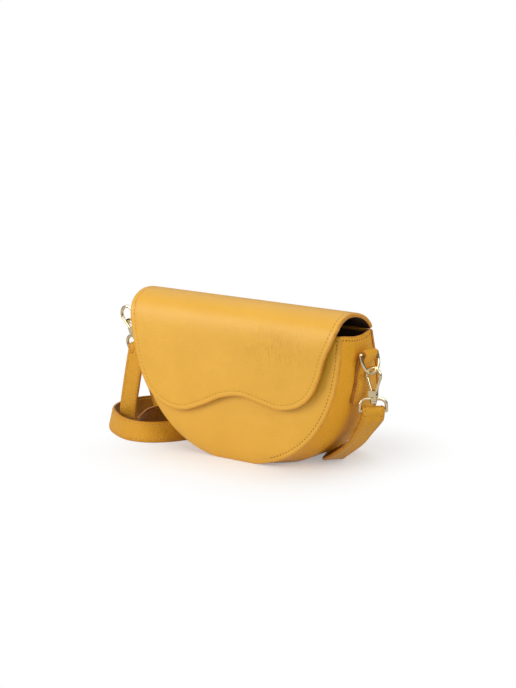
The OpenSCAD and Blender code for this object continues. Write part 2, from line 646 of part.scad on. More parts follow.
// The turned-back end lies close behind the rise
function lap_row(i, away) = let (row = lie_rows[len(lie_rows) - i])
  [row[0] - away * strap_t * right_front, row[1]];
right_rows = concat(
  wrap_rows(bar_right, right_front, right_up, right_w, [180, 135, 90, 45, 0]),
  [lap_row(1, 1.5), lap_row(2, 1.15), lap_row(3, 1.12)]);
strap_steps = 4;
strap_keys = concat(left_rows, lie_rows, right_rows);
strap_rows = smooth(strap_keys, strap_steps);

// Corners of the ribbon at row i, lifted where they would pass through the floor
function unit(v) = v / norm(v);
function ribbon_corners(i) = let (
  n = len(strap_rows) - 1,
  ahead = unit(strap_rows[min(n, i + 1)][0] - strap_rows[max(0, i - 1)][0]),
  raw = strap_rows[i][1],
  w = unit(raw - (raw * ahead) * ahead) * strap_w / 2,
  t = cross(ahead, unit(w)) * strap_t / 2,
  lift = max(0, abs(w[2]) + abs(t[2]) - strap_rows[i][0][2]),
  p = strap_rows[i][0] + [0, 0, lift])
  [p - w - t, p + w - t, p + w + t, p - w + t];
module ribbon(from_key, to_key) {
  i0 = from_key * strap_steps;
  i1 = to_key * strap_steps;
  last = 4 * (i1 - i0);
  color(tan_leather) polyhedron(
    points = [for (i = [i0 : i1]) each ribbon_corners(i)],
    faces = concat(
      [[0, 1, 2], [0, 2, 3], [last + 2, last + 1, last], [last + 3, last + 2, last]],
      [for (i = [0 : i1 - i0 - 1]) for (k = [0 : 3]) let (a = 4 * i + k, b = 4 * i + (k + 1) % 4)
        each [[b, a, a + 4], [b, a + 4, b + 4]]]));
}
left_end = len(left_rows);
module strap_rise_left() { ribbon(0, left_end + 3); }
module strap_inner_run() { ribbon(left_end + 3, left_end + 11); }
module strap_loop_front() { ribbon(left_end + 11, left_end + 17); }
module strap_loop_back() { ribbon(left_end + 17, left_end + 23); }
module strap_behind() { ribbon(left_end + 23, left_end + 29); }
module strap_rise_right() { ribbon(left_end + 29, len(strap_keys) - 1); }

front_panel();
back_panel();
gusset();
front_lining();
back_lining();
gusset_lining();
slip_pocket();
flap_tail();
flap_outer();
flap_lining();
snap_socket();
snap_magnet();
socket_washer();
snap_stud();
stud_washer();
ring_tab_right();
ring_tab_left();
d_ring_right();
d_ring_left();
strap_loop_right();
strap_loop_left();
swivel_stem_right();
swivel_stem_left();
hook_body_right();
hook_body_left();
hook_gate_right();
hook_gate_left();
gate_pin_right();
gate_pin_left();
gate_spring_right();
gate_spring_left();
strap_rise_left();
strap_inner_run();
strap_loop_front();
strap_loop_back();
strap_behind();
strap_rise_right();
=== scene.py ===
import json
import math

import bpy
import numpy as np
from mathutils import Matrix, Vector, geometry


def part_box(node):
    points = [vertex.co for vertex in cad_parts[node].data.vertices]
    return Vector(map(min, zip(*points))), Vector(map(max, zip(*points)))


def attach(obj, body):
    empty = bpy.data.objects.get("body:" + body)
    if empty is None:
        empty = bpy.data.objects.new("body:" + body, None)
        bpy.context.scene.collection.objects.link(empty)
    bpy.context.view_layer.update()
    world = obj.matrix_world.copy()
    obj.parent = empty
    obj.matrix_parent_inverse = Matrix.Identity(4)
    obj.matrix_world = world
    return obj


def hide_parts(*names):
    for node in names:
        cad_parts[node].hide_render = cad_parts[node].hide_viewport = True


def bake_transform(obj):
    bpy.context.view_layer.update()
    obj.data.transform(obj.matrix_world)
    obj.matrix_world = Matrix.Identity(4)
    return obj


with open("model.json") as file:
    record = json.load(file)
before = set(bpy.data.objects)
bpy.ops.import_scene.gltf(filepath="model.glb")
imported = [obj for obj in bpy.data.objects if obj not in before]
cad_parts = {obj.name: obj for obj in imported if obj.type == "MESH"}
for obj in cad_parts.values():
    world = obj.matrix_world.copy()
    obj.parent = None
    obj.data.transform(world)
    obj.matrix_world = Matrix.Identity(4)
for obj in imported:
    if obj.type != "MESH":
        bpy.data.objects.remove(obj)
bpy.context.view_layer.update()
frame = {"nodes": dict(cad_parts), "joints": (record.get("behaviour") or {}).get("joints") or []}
node = frame["nodes"]
MM = 0.001


def new_object(name, data):
    made = bpy.data.objects.new(name, data)
    bpy.context.scene.collection.objects.link(made)
    return made


# Camera: the photograph's angle, with a long lens
AZIMUTH, ELEVATION = math.radians(37.1), math.radians(11.4)
DISTANCE, TARGET = 1.8, Vector((-0.0015, -0.01, 0.1035))
FOCUS_PIXELS, FRAME_PIXELS, SENSOR = 1933, 688, 36
level = math.cos(ELEVATION)
back = Vector((math.sin(AZIMUTH) * level, -math.cos(AZIMUTH) * level, math.sin(ELEVATION)))
camera = new_object("camera", bpy.data.cameras.new("camera"))
camera.data.sensor_width = SENSOR
camera.data.lens = FOCUS_PIXELS * SENSOR / FRAME_PIXELS
camera.data.clip_start, camera.data.clip_end = 0.05, 50
camera.location = TARGET + back * DISTANCE
camera.rotation_mode = "QUATERNION"
camera.rotation_quaternion = (-back).to_track_quat("-Z", "Y")
bpy.context.scene.camera = camera


# Nodes and materials

def colour(code):
    """Linear colour of an sRGB hex code."""
    parts = [int(code[i:i + 2], 16) / 255 for i in (0, 2, 4)]
    return [c / 12.92 if c < 0.04045 else ((c + 0.055) / 1.055) ** 2.4 for c in parts] + [1]


def give(made, sockets):
    """Sets a node's inputs: another node's output is linked, and anything else is a constant value."""
    for key, value in sockets.items():
        if isinstance(value, bpy.types.NodeSocket):
            made.id_data.links.new(value, made.inputs[key])
        else:
            made.inputs[key].default_value = value


def add(tree, kind, sockets=None, out=0, stops=(), **settings):
    """Adds a node and returns its output out, or the node itself where out is None. stops are the places
    and colours of a ramp."""
    made = tree.nodes.new(kind)
    for key, value in settings.items():
        setattr(made, key, value)
    give(made, sockets or {})
    if stops:
        steps = made.color_ramp.elements
        while len(steps) < len(stops):
            steps.new(0.5)
        for step, (place, tone) in zip(steps, stops):
            step.position, step.color = place, tone
    return made if out is None else made.outputs[out]


def new_material(name, sockets):
    """A material, its node tree and its Principled shader, with constant values in some of its inputs."""
    made = bpy.data.materials.new(name)
    made.use_nodes = True
    tree = made.node_tree
    shader = tree.nodes["Principled BSDF"]
    give(shader, sockets)
    return made, tree, shader


def calf(name, tones, seed, polish=0.55, gloss="FFF2E0", ior=1.44, relief=0.65, creased=0.0):
    """Milled calf, drum dyed: small rounded grain with pores between, soft sheen and slow changes of tone
    where the dye took differently, a little darker along the worn edges. relief is the grain's strength,
    and creased what is added to it where the attribute crease is 1."""
    made, tree, shader = new_material(name, {"IOR": ior, "Coat Weight": polish, "Coat Roughness": 0.48,
                                             "Specular Tint": colour(gloss)})
    spot = add(tree, "ShaderNodeTexCoord", out="Object")
    moved = add(tree, "ShaderNodeMapping", {"Vector": spot, "Location": (seed, seed * 0.7, 0)})
    # tone changes 45 mm and 9 mm across, and pores 0.4 mm apart
    slow, patch, pores = (
        add(tree, "ShaderNodeTexNoise", {"Vector": moved, "Scale": 1 / size, "Detail": detail})
        for size, detail in ((0.045, 2), (0.009, 3), (0.0004, 2)))
    tone = add(tree, "ShaderNodeMath", {0: patch, 1: 0.35}, operation="MULTIPLY")
    tone = add(tree, "ShaderNodeMath", {0: slow, 1: 0.65, 2: tone}, operation="MULTIPLY_ADD")
    stops = [(place, colour(code)) for place, code in zip((0.3, 0.5, 0.72), tones)]
    base = add(tree, "ShaderNodeValToRGB", {0: tone}, stops=stops)
    # the last 2.4 mm towards an edge are worn darker
    rim = add(tree, "ShaderNodeAttribute", out="Fac", attribute_name="rim")
    worn = add(tree, "ShaderNodeMapRange", {"Value": rim, "From Min": 0.0, "From Max": 2.4, "To Min": 1.0,
                                            "To Max": 0.0}, interpolation_type="SMOOTHSTEP")
    worn = add(tree, "ShaderNodeMath", {0: worn, 1: 0.35}, operation="MULTIPLY")
    edged = add(tree, "ShaderNodeMix", {0: worn, 6: base, 7: colour(tones[0])}, out=2, data_type="RGBA",
                blend_type="MULTIPLY")
    rough = add(tree, "ShaderNodeMapRange", {"Value": patch, "From Min": 0.3, "From Max": 0.7,
                                             "To Min": 0.44, "To Max": 0.56})
    # rounded grain cells, drawn 1.7 mm across so that they show
    cells = add(tree, "ShaderNodeTexVoronoi", {"Vector": moved, "Scale": 1 / 0.0017, "Randomness": 0.95},
                out="Distance", feature="SMOOTH_F1")
    # fine creases that run up and down, 1.7 mm apart and 11 mm long, where the leather bends
    long_scale = (1 / 0.0017, 1 / 0.02, 1 / 0.011)
    stretched = add(tree, "ShaderNodeMapping", {"Vector": moved, "Scale": long_scale})
    lines = add(tree, "ShaderNodeTexNoise", {"Vector": stretched, "Scale": 1.0, "Detail": 2,
                                             "Distortion": 0.3})
    crease = add(tree, "ShaderNodeAttribute", out="Fac", attribute_name="crease")
    lines = add(tree, "ShaderNodeMath", {0: lines, 1: crease}, operation="MULTIPLY")
    depth = add(tree, "ShaderNodeMath", {0: crease, 1: creased, 2: relief}, operation="MULTIPLY_ADD")
    normal = add(tree, "ShaderNodeBump", {"Strength": 0.3, "Distance": 0.0002, "Height": pores})
    for strength, distance, height in ((depth, 0.0008, cells), (0.8, 0.0024, lines), (0.15, 0.003, slow)):
        normal = add(tree, "ShaderNodeBump", {"Strength": strength, "Distance": distance, "Height": height,
                                              "Normal": normal})
    give(shader, {"Base Color": edged, "Roughness": rough, "Normal": normal})
    return made


def edge_paint(name, code, deep):
    """Burnished edge paint over cut leather: smooth, half gloss, with faint ridges of the brush."""
    made, tree, shader = new_material(name, {"Roughness": 0.42, "IOR": 1.48})
    spot = add(tree, "ShaderNodeTexCoord", out="Object")
    blot = add(tree, "ShaderNodeTexNoise", {"Vector": spot, "Scale": 1 / 0.004, "Detail": 3})
    tone = add(tree, "ShaderNodeValToRGB", {0: blot}, stops=[(0.35, colour(deep)), (0.65, colour(code))])
    ridge = add(tree, "ShaderNodeTexNoise", {"Vector": spot, "Scale": 1 / 0.0012, "Detail": 2})
    bump = add(tree, "ShaderNodeBump", {"Strength": 0.2, "Distance": 0.0003, "Height": ridge})
    give(shader, {"Base Color": tone, "Normal": bump})
    return made


def suede(name, dark, light, nap_sheen=0.06):
    """Brushed split leather: matt, with a short nap that catches light at the sides, and soft strokes."""
    made, tree, shader = new_material(name, {"Roughness": 0.95, "IOR": 1.3, "Sheen Weight": nap_sheen,
                                             "Sheen Roughness": 0.5})
    spot = add(tree, "ShaderNodeTexCoord", out="Object")
    stroke = add(tree, "ShaderNodeTexNoise", {"Vector": spot, "Scale": 1 / 0.014, "Detail": 3,
                                              "Distortion": 1.2})
    tone = add(tree, "ShaderNodeValToRGB", {0: stroke}, stops=[(0.3, colour(dark)), (0.7, colour(light))])
    nap = add(tree, "ShaderNodeTexNoise", {"Vector": spot, "Scale": 1 / 0.0005, "Detail": 3})
    bump = add(tree, "ShaderNodeBump", {"Strength": 0.35, "Distance": 0.0004, "Height": nap})
    give(shader, {"Base Color": tone, "Normal": bump})
    return made


def plated(name, code, grazing, rough):
    """Zinc casting under polished plating: a mirror with faint tumbling marks and hairlines, whose tint
    deepens at grazing angles."""
    made, tree, shader = new_material(name, {"Metallic": 1.0, "Specular Tint": colour(grazing),
                                             "Base Color": colour(code)})
    spot = add(tree, "ShaderNodeTexCoord", out="Object")
    cloud = add(tree, "ShaderNodeTexNoise", {"Vector": spot, "Scale": 1 / 0.006, "Detail": 3})
    value = add(tree, "ShaderNodeMapRange", {"Value": cloud, "From Min": 0.3, "From Max": 0.7,
                                             "To Min": rough, "To Max": rough + 0.08})
    marks = add(tree, "ShaderNodeTexNoise", {"Vector": spot, "Scale": 1 / 0.0008, "Detail": 2})
    bump = add(tree, "ShaderNodeBump", {"Strength": 0.05, "Distance": 0.0002, "Height": marks})
    give(shader, {"Roughness": value, "Normal": bump})
    return made


def sewing_thread(name, dark, light):
    """Bonded thread of three plies, slightly waxy: the twist shows as slanting ridges, drawn 1.2 mm apart
    so that they show."""
    made, tree, shader = new_material(name, {"Roughness": 0.6, "IOR": 1.45, "Sheen Weight": 0.03})
    spot = add(tree, "ShaderNodeTexCoord", out="Object")
    twist = add(tree, "ShaderNodeTexWave", {"Vector": spot, "Scale": 1 / 0.0033, "Distortion": 0.4},
                out="Fac", bands_direction="DIAGONAL")
    tone = add(tree, "ShaderNodeValToRGB", {0: twist}, stops=[(0.2, colour(dark)), (0.8, colour(light))])
    bump = add(tree, "ShaderNodeBump", {"Strength": 0.4, "Distance": 0.0002, "Height": twist})
    give(shader, {"Base Color": tone, "Normal": bump})
    return made


WARM = "FFDCA0"
calf_face = calf("milled_calf_leather", ("D8A026", "DCA429", "E0A82F"), 0.0, relief=0.26, creased=0.45)
calf_strap = calf("milled_calf_leather_strap", ("CA9024", "D09628", "D69C2E"), 0.31, 0.05, WARM)
calf_gusset = calf("milled_calf_leather_gusset", ("DA9C2A", "DFA12F", "E2A534"), 0.57, 0.0, WARM, ior=1.2)
# a darker copy of the strap leather: painted shade on the loop's inner face, where it lies in the bag's
# shade
strap_loop_painted_shade = calf("milled_calf_leather_strap_painted_shade", ("8A5814", "935F18", "9C671C"), 0.83, 0.02, WARM)
flesh_side = suede("calf_flesh_side", "A8701F", "BE8430")
flap_suede = suede("brushed_split_leather_flap_lining", "3E2610", "50331A")
lining = suede("brushed_split_leather_lining", "3A230F", "4C3018")
# dark lenses at the needle holes: painted shade where the thread goes into the leather
hole_shade = suede("pierced_leather_hole_painted_shade", "703A0A", "864A12", 0.0)
paint = edge_paint("burnished_edge_paint", "DFA038", "C98A26")
# the deeper edge paint of the inner layers; on the back panel's edge it is also painted shade
paint_deep = edge_paint("burnished_edge_paint_deep_and_painted_shade", "CE8F2C", "B3761C")
# a darker edge paint for the ring tabs, which also paints the shade lines along their edges
paint_dark = edge_paint("burnished_edge_paint_dark_and_painted_shade", "B8781C", "98600F")
gold = plated("pale_gold_plating", "F1DFB4", "9A7440", 0.07)
steel = plated("nickel_plated_steel", "B9B7B2", "8E8C88", 0.25)
thread = sewing_thread("bonded_polyester_thread", "C48422", "E6B048")


# Sizes of the construction, from its nodes' boxes and its joints

def box(name):
    """Lowest and highest corner of a constructed node at rest, in millimetres."""
    return [np.array(corner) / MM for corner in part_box(name)]


joint_at = {joint["name"]: np.array(joint["pos_m"]) / MM for joint in frame["joints"]}
front_low, front_high = box("front_panel")
FRONT_Y, BACK_Y, MOUTH_DEPTH = front_low[1], box("back_panel")[1][1], 50.5
RIM_Z, PANEL_T = front_high[2], front_high[1] - front_low[1]
GUSSET_T, FLANGE_W = box("gusset_lining")[0][2], 9.0
LINING_T = box("front_lining")[1][1] - box("front_lining")[0][1]
LEAN = math.atan((BACK_Y - FRONT_Y - MOUTH_DEPTH) / RIM_Z)
FLARE, BELLY_DROP, SINK, POWER = 3.0, 12.5, 1.5, 2.2
BELLY_W, BELLY_Z = front_high[0] - FLARE, RIM_Z - BELLY_DROP
# the back's sag, and the height at which it begins
SAG, SAG_TOP = 9.0, 104.0


def unit(rows):
    return rows / np.maximum(np.linalg.norm(rows, axis=-1, keepdims=True), 1e-9)


def smooth(keys, steps):
    """Catmull-Rom rows through all keys, as in the construction."""
    keys = np.array(keys, float)
    ends = np.vstack([keys[:1], keys, keys[-1:]])
    rows = []
    for i in range(len(keys) - 1):
        a, b, c, d = ends[i:i + 4]
        for j in range(steps):
            t = j / steps
            bend = 2 * a - 5 * b + 4 * c - d + t * (3 * (b - c) + d - a)
            rows.append(b + 0.5 * t * ((c - a) + t * bend))
    return np.array(rows + [keys[-1]])


def lengths(rows):
    return np.concatenate([[0], np.cumsum(np.linalg.norm(np.diff(rows, axis=0), axis=1))])


def along(rows, far, at):
    """The rows read at lengths at, where far holds each row's own length from the start."""
    return np.stack([np.interp(at, far, column) for column in rows.T], 1)


def resampled(rows, step, closed=False):
    rows = np.vstack([rows, rows[:1]]) if closed else np.asarray(rows)
    far = lengths(rows)
    count = max(2, int(round(far[-1] / step)))
    at = np.linspace(0, far[-1], count + 1)
    if closed:
        at = at[:-1]
    return along(rows, far, at)


def body_outline():
    """The outline from the mouth on the right, under the floor side and up to the mouth on the left."""
    high = BELLY_Z + SINK
    turn = math.asin((BELLY_Z / high) ** (POWER / 2))
    round_z = BELLY_Z - high * np.sin(np.linspace(0, turn, 120)) ** (2 / POWER)
    z = np.maximum(np.concatenate([np.linspace(RIM_Z, BELLY_Z, 8)[:-1], round_z]), 0)
    drop = np.maximum(0, BELLY_Z - z) / high
    x = BELLY_W * (1 - drop ** POWER) ** (1 / POWER) + FLARE * (z / RIM_Z) ** 4
    half = np.stack([x, z], 1)
    return np.vstack([half, mirrored(half)])


def mirrored(rows):
    """The same rows on the left side, in reverse."""
    return rows[::-1] * [-1, 1]


OUTLINE = body_outline()
HALF = len(OUTLINE) // 2


def back_y(z, depth=0.0):
    """Y of the back at a height, depth inside its face: a leaning plane that sags out below the tail."""
    sag = SAG * np.clip(1 - (np.asarray(z) / SAG_TOP) ** 2, 0, None) ** 1.5
    return BACK_Y - z * math.tan(LEAN) + sag - depth / math.cos(LEAN)


# Meshes

def anticlockwise(loop):
    after = np.roll(loop, -1, 0)
    area = np.sum(loop[:, 0] * after[:, 1] - after[:, 0] * loop[:, 1])
    return loop if area > 0 else loop[::-1]


def turned_left(rows):
    return np.stack([-rows[:, 1], rows[:, 0]], 1)


def inset(loop, depth):
    """A closed anticlockwise loop moved inwards."""
    before, after = unit(loop - np.roll(loop, 1, 0)), unit(np.roll(loop, -1, 0) - loop)
    way = unit(turned_left(before) + turned_left(after))
    return loop + way * depth / np.clip((way * turned_left(before)).sum(1), 0.45, 1)[:, None]


def distance_to(loop, points):
    """How far each point is from a closed loop."""
    best = np.full(len(points), 1e9)
    for p, q in zip(loop, np.roll(loop, -1, 0)):
        d = q - p
        t = np.clip(((points - p) @ d) / max(d @ d, 1e-12), 0, 1)
        best = np.minimum(best, np.linalg.norm(points - p - t[:, None] * d, axis=1))
    return best


def inside(loop, points):
    result = np.zeros(len(points), bool)
    for p, q in zip(loop, np.roll(loop, -1, 0)):
        cross = (p[1] > points[:, 1]) != (q[1] > points[:, 1])
        x = p[0] + (points[:, 1] - p[1]) / (q[1] - p[1] if q[1] != p[1] else 1e-9) * (q[0] - p[0])
        result ^= cross & (points[:, 0] < x)
    return result


def make_object(name, points, faces, looks, kinds, flat, rim, crease):
    """A mesh object with a look for each face, its flat cut as UV map and the attributes rim and crease."""
    mesh = bpy.data.meshes.new(name)
    mesh.from_pydata([tuple(p) for p in points * MM], [], faces)
    for made in looks:
        mesh.materials.append(made)
    mesh.polygons.foreach_set("material_index", kinds)
    mesh.polygons.foreach_set("use_smooth", [True] * len(faces))
    for label, values in (("rim", rim), ("crease", crease)):
        if values is not None:
            kept = mesh.attributes.new(label, "FLOAT", "POINT")
            kept.data.foreach_set("value", np.asarray(values, float))
    corner = np.array([loop.vertex_index for loop in mesh.loops])
    mesh.uv_layers.new(name="flat").data.foreach_set("uv", (flat[corner] * MM).ravel())
    mesh.update()
    return new_object(name, mesh)


def net_inside(loop, inner, edge, step, rows_at):
    """Points for the mesh of a flat piece: an even net inside its edge, and rows along it at the distances
    rows_at from it, for the form along a seam."""
    low, high = inner.min(0), inner.max(0)
    rows = []
    for k, y in enumerate(np.arange(low[1] + step / 3, high[1], step * 0.87)):
        x = np.arange(low[0] + step * (0.25 + 0.5 * (k % 2)), high[0], step)
        rows.append(np.stack([x, np.full(len(x), y)], 1))
    net = np.vstack(rows)
    net = net[inside(inner, net)]
    deep = distance_to(loop, net)
    clear = deep > edge + step * 0.5
    seam_rows = []
    for at in rows_at:
        clear &= np.abs(deep - at) > step * 0.4
        row = inset(loop, at)
        seam_rows.append(row[inside(inner, row) & (distance_to(loop, row) > at - 0.15)])
    return np.vstack([net[clear]] + seam_rows)


def leather(name, loop, thick, place, looks, edge=0.6, step=3.0, crease=None, rows_at=()):
    """A piece cut from flat leather: loop is its cut outline, place bends it to its form.
    place takes flat points and their distance from the edge, and gives points and outward directions.
    looks are the materials of the face, the painted edge and the back, and edge is the edge's rounding."""
    loop = resampled(anticlockwise(loop), step * 0.55, closed=True)
    count = len(loop)
    inner = inset(loop, edge)
    points = np.vstack([inner, net_inside(loop, inner, edge, step, rows_at)])
    made = geometry.delaunay_2d_cdt([Vector(p) for p in points], [], [list(range(count))], 1, 1e-6)
    verts, triangles, origin = made[0], made[2], made[3]
    flat = np.array([tuple(v) for v in verts])
    where = {}
    for i, sources in enumerate(origin):
        for k in sources:
            where.setdefault(k, i)
    border = [where[k] for k in range(count)]
    size = len(flat)
    # the rounded edge is a ladder of rings from the face over the side to the back
    flats, depths, rings = [flat, flat], [np.zeros(size), np.full(size, thick)], []
    for angle in (30, 60, 90, 90, 60, 30):
        past_side = len(rings) >= 3
        fall = edge * (1 - math.cos(math.radians(angle)))
        flats.append(inset(loop, edge * (1 - math.sin(math.radians(angle)))) if angle < 90 else loop)
        depths.append(np.full(count, thick - fall if past_side else fall))
        rings.append(2 * size + len(rings) * count)
    flat_all, depth = np.vstack(flats), np.concatenate(depths)
    rim = distance_to(loop, flat_all)
    points, out = place(flat_all, rim)
    points = points - out * depth[:, None]
    faces = [tuple(t) for t in triangles] + [tuple(size + i for i in t[::-1]) for t in triangles]
    kinds = [0] * len(triangles) + [2] * len(triangles)
    ladder = [border] + [list(range(r, r + count)) for r in rings] + [[size + i for i in border]]
    for k, (upper, lower) in enumerate(zip(ladder, ladder[1:])):
        for i in range(count):
            j = (i + 1) % count
            faces.append((upper[i], lower[i], lower[j], upper[j]))
            kinds.append(0 if k == 0 else 1)
    a, b, c = (points[i] for i in triangles[0])
    if np.dot(np.cross(b - a, c - a), out[triangles[0][0]]) < 0:
        faces = [f[::-1] for f in faces]
    return make_object(name, points, faces, looks, kinds, flat_all, rim,
                       crease(flat_all) if crease else None)


# Geometry Nodes: stitches along a run, and a flat ribbon along a path

def interface(tree, run, sizes, looks, result):
    """Names a tree's inputs, a run of edges, sizes in millimetres and materials, and its result."""
    def socket(name, kind, way="INPUT"):
        return tree.interface.new_socket(name, in_out=way, socket_type="NodeSocket" + kind)
    socket(run, "Geometry")
    for name, value in sizes:
        socket(name, "Float").default_value = value * MM
    for name in looks:
        socket(name, "Material")
    socket(result, "Geometry", "OUTPUT")
    return add(tree, "NodeGroupInput", out=None).outputs


def stitch_tree():
    """Input: a run of edges on the leather with the attribute up. Each point of an even pitch gets a
    stitch, and between each two lies a dark lens, the painted shade of a needle hole."""
    tree = bpy.data.node_groups.new("saddle_stitches", "GeometryNodeTree")
    sizes = (("Pitch", 3.6), ("Stitch length", 2.7), ("Thread width", 0.8), ("Sink", 0.1),
             ("Hole width", 1.5))
    given = interface(tree, "Run", sizes, ("Thread", "Hole"), "Stitches")
    run = add(tree, "GeometryNodeMeshToCurve", {"Mesh": given["Run"]})
    run = add(tree, "GeometryNodeResampleCurve", {"Curve": run, "Length": given["Pitch"]}, mode="LENGTH")
    up = add(tree, "GeometryNodeInputNamedAttribute", {"Name": "up"}, data_type="FLOAT_VECTOR")
    tangent = add(tree, "GeometryNodeInputTangent")
    turn = add(tree, "FunctionNodeAlignRotationToVector", {"Vector": tangent}, axis="X")
    turn = add(tree, "FunctionNodeAlignRotationToVector", {"Rotation": turn, "Vector": up}, axis="Z",
               pivot_axis="X")

    def spread(shape, size, move, look):
        """One shape at every point of the run, turned along it and upright on the leather."""
        size = add(tree, "ShaderNodeCombineXYZ", size)
        move = add(tree, "ShaderNodeCombineXYZ", move)
        shape = add(tree, "GeometryNodeTransform", {"Geometry": shape, "Scale": size, "Translation": move})
        many = add(tree, "GeometryNodeInstanceOnPoints",
                   {"Points": run, "Instance": shape, "Rotation": turn})
        many = add(tree, "GeometryNodeRealizeInstances", {"Geometry": many})
        return add(tree, "GeometryNodeSetMaterial", {"Geometry": many, "Material": look})

    width, hole = given["Thread width"], given["Hole width"]
    # the thread is flatter than it is wide and sinks in, and a flat dark lens half a pitch ahead is its
    # needle hole's painted shade
    flatter, down, shallow, ahead = (
        add(tree, "ShaderNodeMath", {0: size, 1: share}, operation="MULTIPLY")
        for size, share in ((width, 0.8), (given["Sink"], -1.0), (hole, 0.16), (given["Pitch"], 0.5)))
    pill = add(tree, "GeometryNodeMeshUVSphere", {"Segments": 8, "Rings": 5, "Radius": 0.5})
    pill = add(tree, "GeometryNodeTransform", {"Geometry": pill, "Rotation": (0, math.pi / 2, 0)})
    pill = add(tree, "GeometryNodeSetShadeSmooth", {"Geometry": pill})
    pills = spread(pill, {"X": given["Stitch length"], "Y": width, "Z": flatter}, {"Z": down},
                   given["Thread"])
    lens = add(tree, "GeometryNodeMeshUVSphere", {"Segments": 10, "Rings": 5, "Radius": 0.5})
    lenses = spread(lens, {"X": hole, "Y": hole, "Z": shallow}, {"X": ahead}, given["Hole"])
    both = add(tree, "GeometryNodeJoinGeometry", out=None)
    for part in (pills, lenses):
        tree.links.new(part, both.inputs[0])
    add(tree, "NodeGroupOutput", {"Stitches": both.outputs[0]}, out=None)
    return tree


def ribbon_tree():
    """Input: a path of edges with the attributes across, the direction of the ribbon's width, and turned,
    which is 1 where the inner face gets a darker leather as painted shade."""
    tree = bpy.data.node_groups.new("flat_ribbon", "GeometryNodeTree")
    given = interface(tree, "Path", (("Width", 20), ("Thickness", 2.8)),
                      ("Leather", "Painted shade", "Edge paint"), "Ribbon")
    path = add(tree, "GeometryNodeMeshToCurve", {"Mesh": given["Path"]})
    across = add(tree, "GeometryNodeInputNamedAttribute", {"Name": "across"}, data_type="FLOAT_VECTOR")
    path = add(tree, "GeometryNodeSetCurveNormal", {"Curve": path, "Normal": across}, mode="FREE")
    shape = add(tree, "GeometryNodeCurvePrimitiveQuadrilateral",
                {"Width": given["Width"], "Height": given["Thickness"]})
    shape = add(tree, "GeometryNodeResampleCurve", {"Curve": shape, "Count": 48}, mode="COUNT")
    spot = add(tree, "GeometryNodeInputPosition")
    xyz = add(tree, "ShaderNodeSeparateXYZ", {0: spot}, out=None).outputs
    # the two sewn layers are thicker along the middle than at the painted edges
    half = add(tree, "ShaderNodeMath", {0: given["Width"], 1: 0.5}, operation="MULTIPLY")
    share = add(tree, "ShaderNodeMath", {0: xyz["X"], 1: half}, operation="DIVIDE")
    share = add(tree, "ShaderNodeMath", {0: share, 1: share}, operation="MULTIPLY")
    steep = add(tree, "ShaderNodeMath", {0: share, 1: 9.0}, operation="POWER")
    squeeze = add(tree, "ShaderNodeMath", {0: steep, 1: -0.45, 2: 1.0}, operation="MULTIPLY_ADD")
    narrow = add(tree, "ShaderNodeMath", {0: xyz["Y"], 1: squeeze}, operation="MULTIPLY")
    moved = add(tree, "ShaderNodeCombineXYZ", {"X": xyz["X"], "Y": narrow})
    shape = add(tree, "GeometryNodeSetPosition", {"Geometry": shape, "Position": moved})
    for name, value in (("side", xyz["X"]), ("layer", xyz["Y"])):
        shape = add(tree, "GeometryNodeStoreNamedAttribute",
                    {"Name": name, "Geometry": shape, "Value": value}, data_type="FLOAT", domain="POINT")
    body = add(tree, "GeometryNodeCurveToMesh", {"Curve": path, "Profile Curve": shape, "Fill Caps": True})
    side, layer, turned = (add(tree, "GeometryNodeInputNamedAttribute", {"Name": name}, data_type="FLOAT")
                           for name in ("side", "layer", "turned"))
    side = add(tree, "ShaderNodeMath", {0: side}, operation="ABSOLUTE")
    rim = add(tree, "ShaderNodeMath", {0: half, 1: side}, operation="SUBTRACT")
    in_mm = add(tree, "ShaderNodeMath", {0: rim, 1: 1 / MM}, operation="MULTIPLY")
    body = add(tree, "GeometryNodeStoreNamedAttribute", {"Name": "rim", "Geometry": body, "Value": in_mm},
               data_type="FLOAT", domain="POINT")
    body = add(tree, "GeometryNodeSetShadeSmooth", {"Geometry": body})
    body = add(tree, "GeometryNodeRealizeInstances", {"Geometry": body})
    # where turned is 1 the inner face gets the darker leather: painted shade inside the loop
    layer = add(tree, "ShaderNodeMath", {0: layer, 1: turned}, operation="MULTIPLY")
    behind, at_edge = (add(tree, "FunctionNodeCompare", {"A": a, "B": b}, operation=test, data_type="FLOAT")
                       for a, b, test in ((layer, 0.2 * MM, "GREATER_THAN"), (in_mm, 0.25, "LESS_THAN")))
    for look, chosen in (("Leather", True), ("Painted shade", behind), ("Edge paint", at_edge)):
        body = add(tree, "GeometryNodeSetMaterial",
                   {"Geometry": body, "Selection": chosen, "Material": given[look]})
    add(tree, "NodeGroupOutput", {"Ribbon": body}, out=None)
    return tree


STITCHES, RIBBON = stitch_tree(), ribbon_tree()


def run_of(name, paths, label, directions):
    """A mesh of edges only, with one vector attribute, for a node tree to work on. Points are in mm."""
    mesh = bpy.data.meshes.new(name)
    edges, start = [], 0
    for path in paths:
        edges += [(start + i, start + i + 1) for i in range(len(path) - 1)]
        start += len(path)
    mesh.from_pydata([tuple(p) for p in np.vstack(paths) * MM], edges, [])
    kept = mesh.attributes.new(label, "FLOAT_VECTOR", "POINT")
    kept.data.foreach_set("vector", np.vstack(directions).ravel())
    return new_object(name, mesh)


def through(tree, source, inputs):
    """The result of a node tree on source, as a plain mesh object of the same name."""
    worker = source.modifiers.new("tree", "NODES")
    worker.node_group = tree
    for item in tree.interface.items_tree:
        if item.name in inputs:
            worker[item.identifier] = inputs[item.name]
    bpy.context.view_layer.update()
    seen = source.evaluated_get(bpy.context.evaluated_depsgraph_get())
    result = bpy.data.meshes.new_from_object(seen)
    name = source.name
    source.name = name + "_source"
    bpy.data.objects.remove(source)
    result.name = name
    return new_object(name, result)


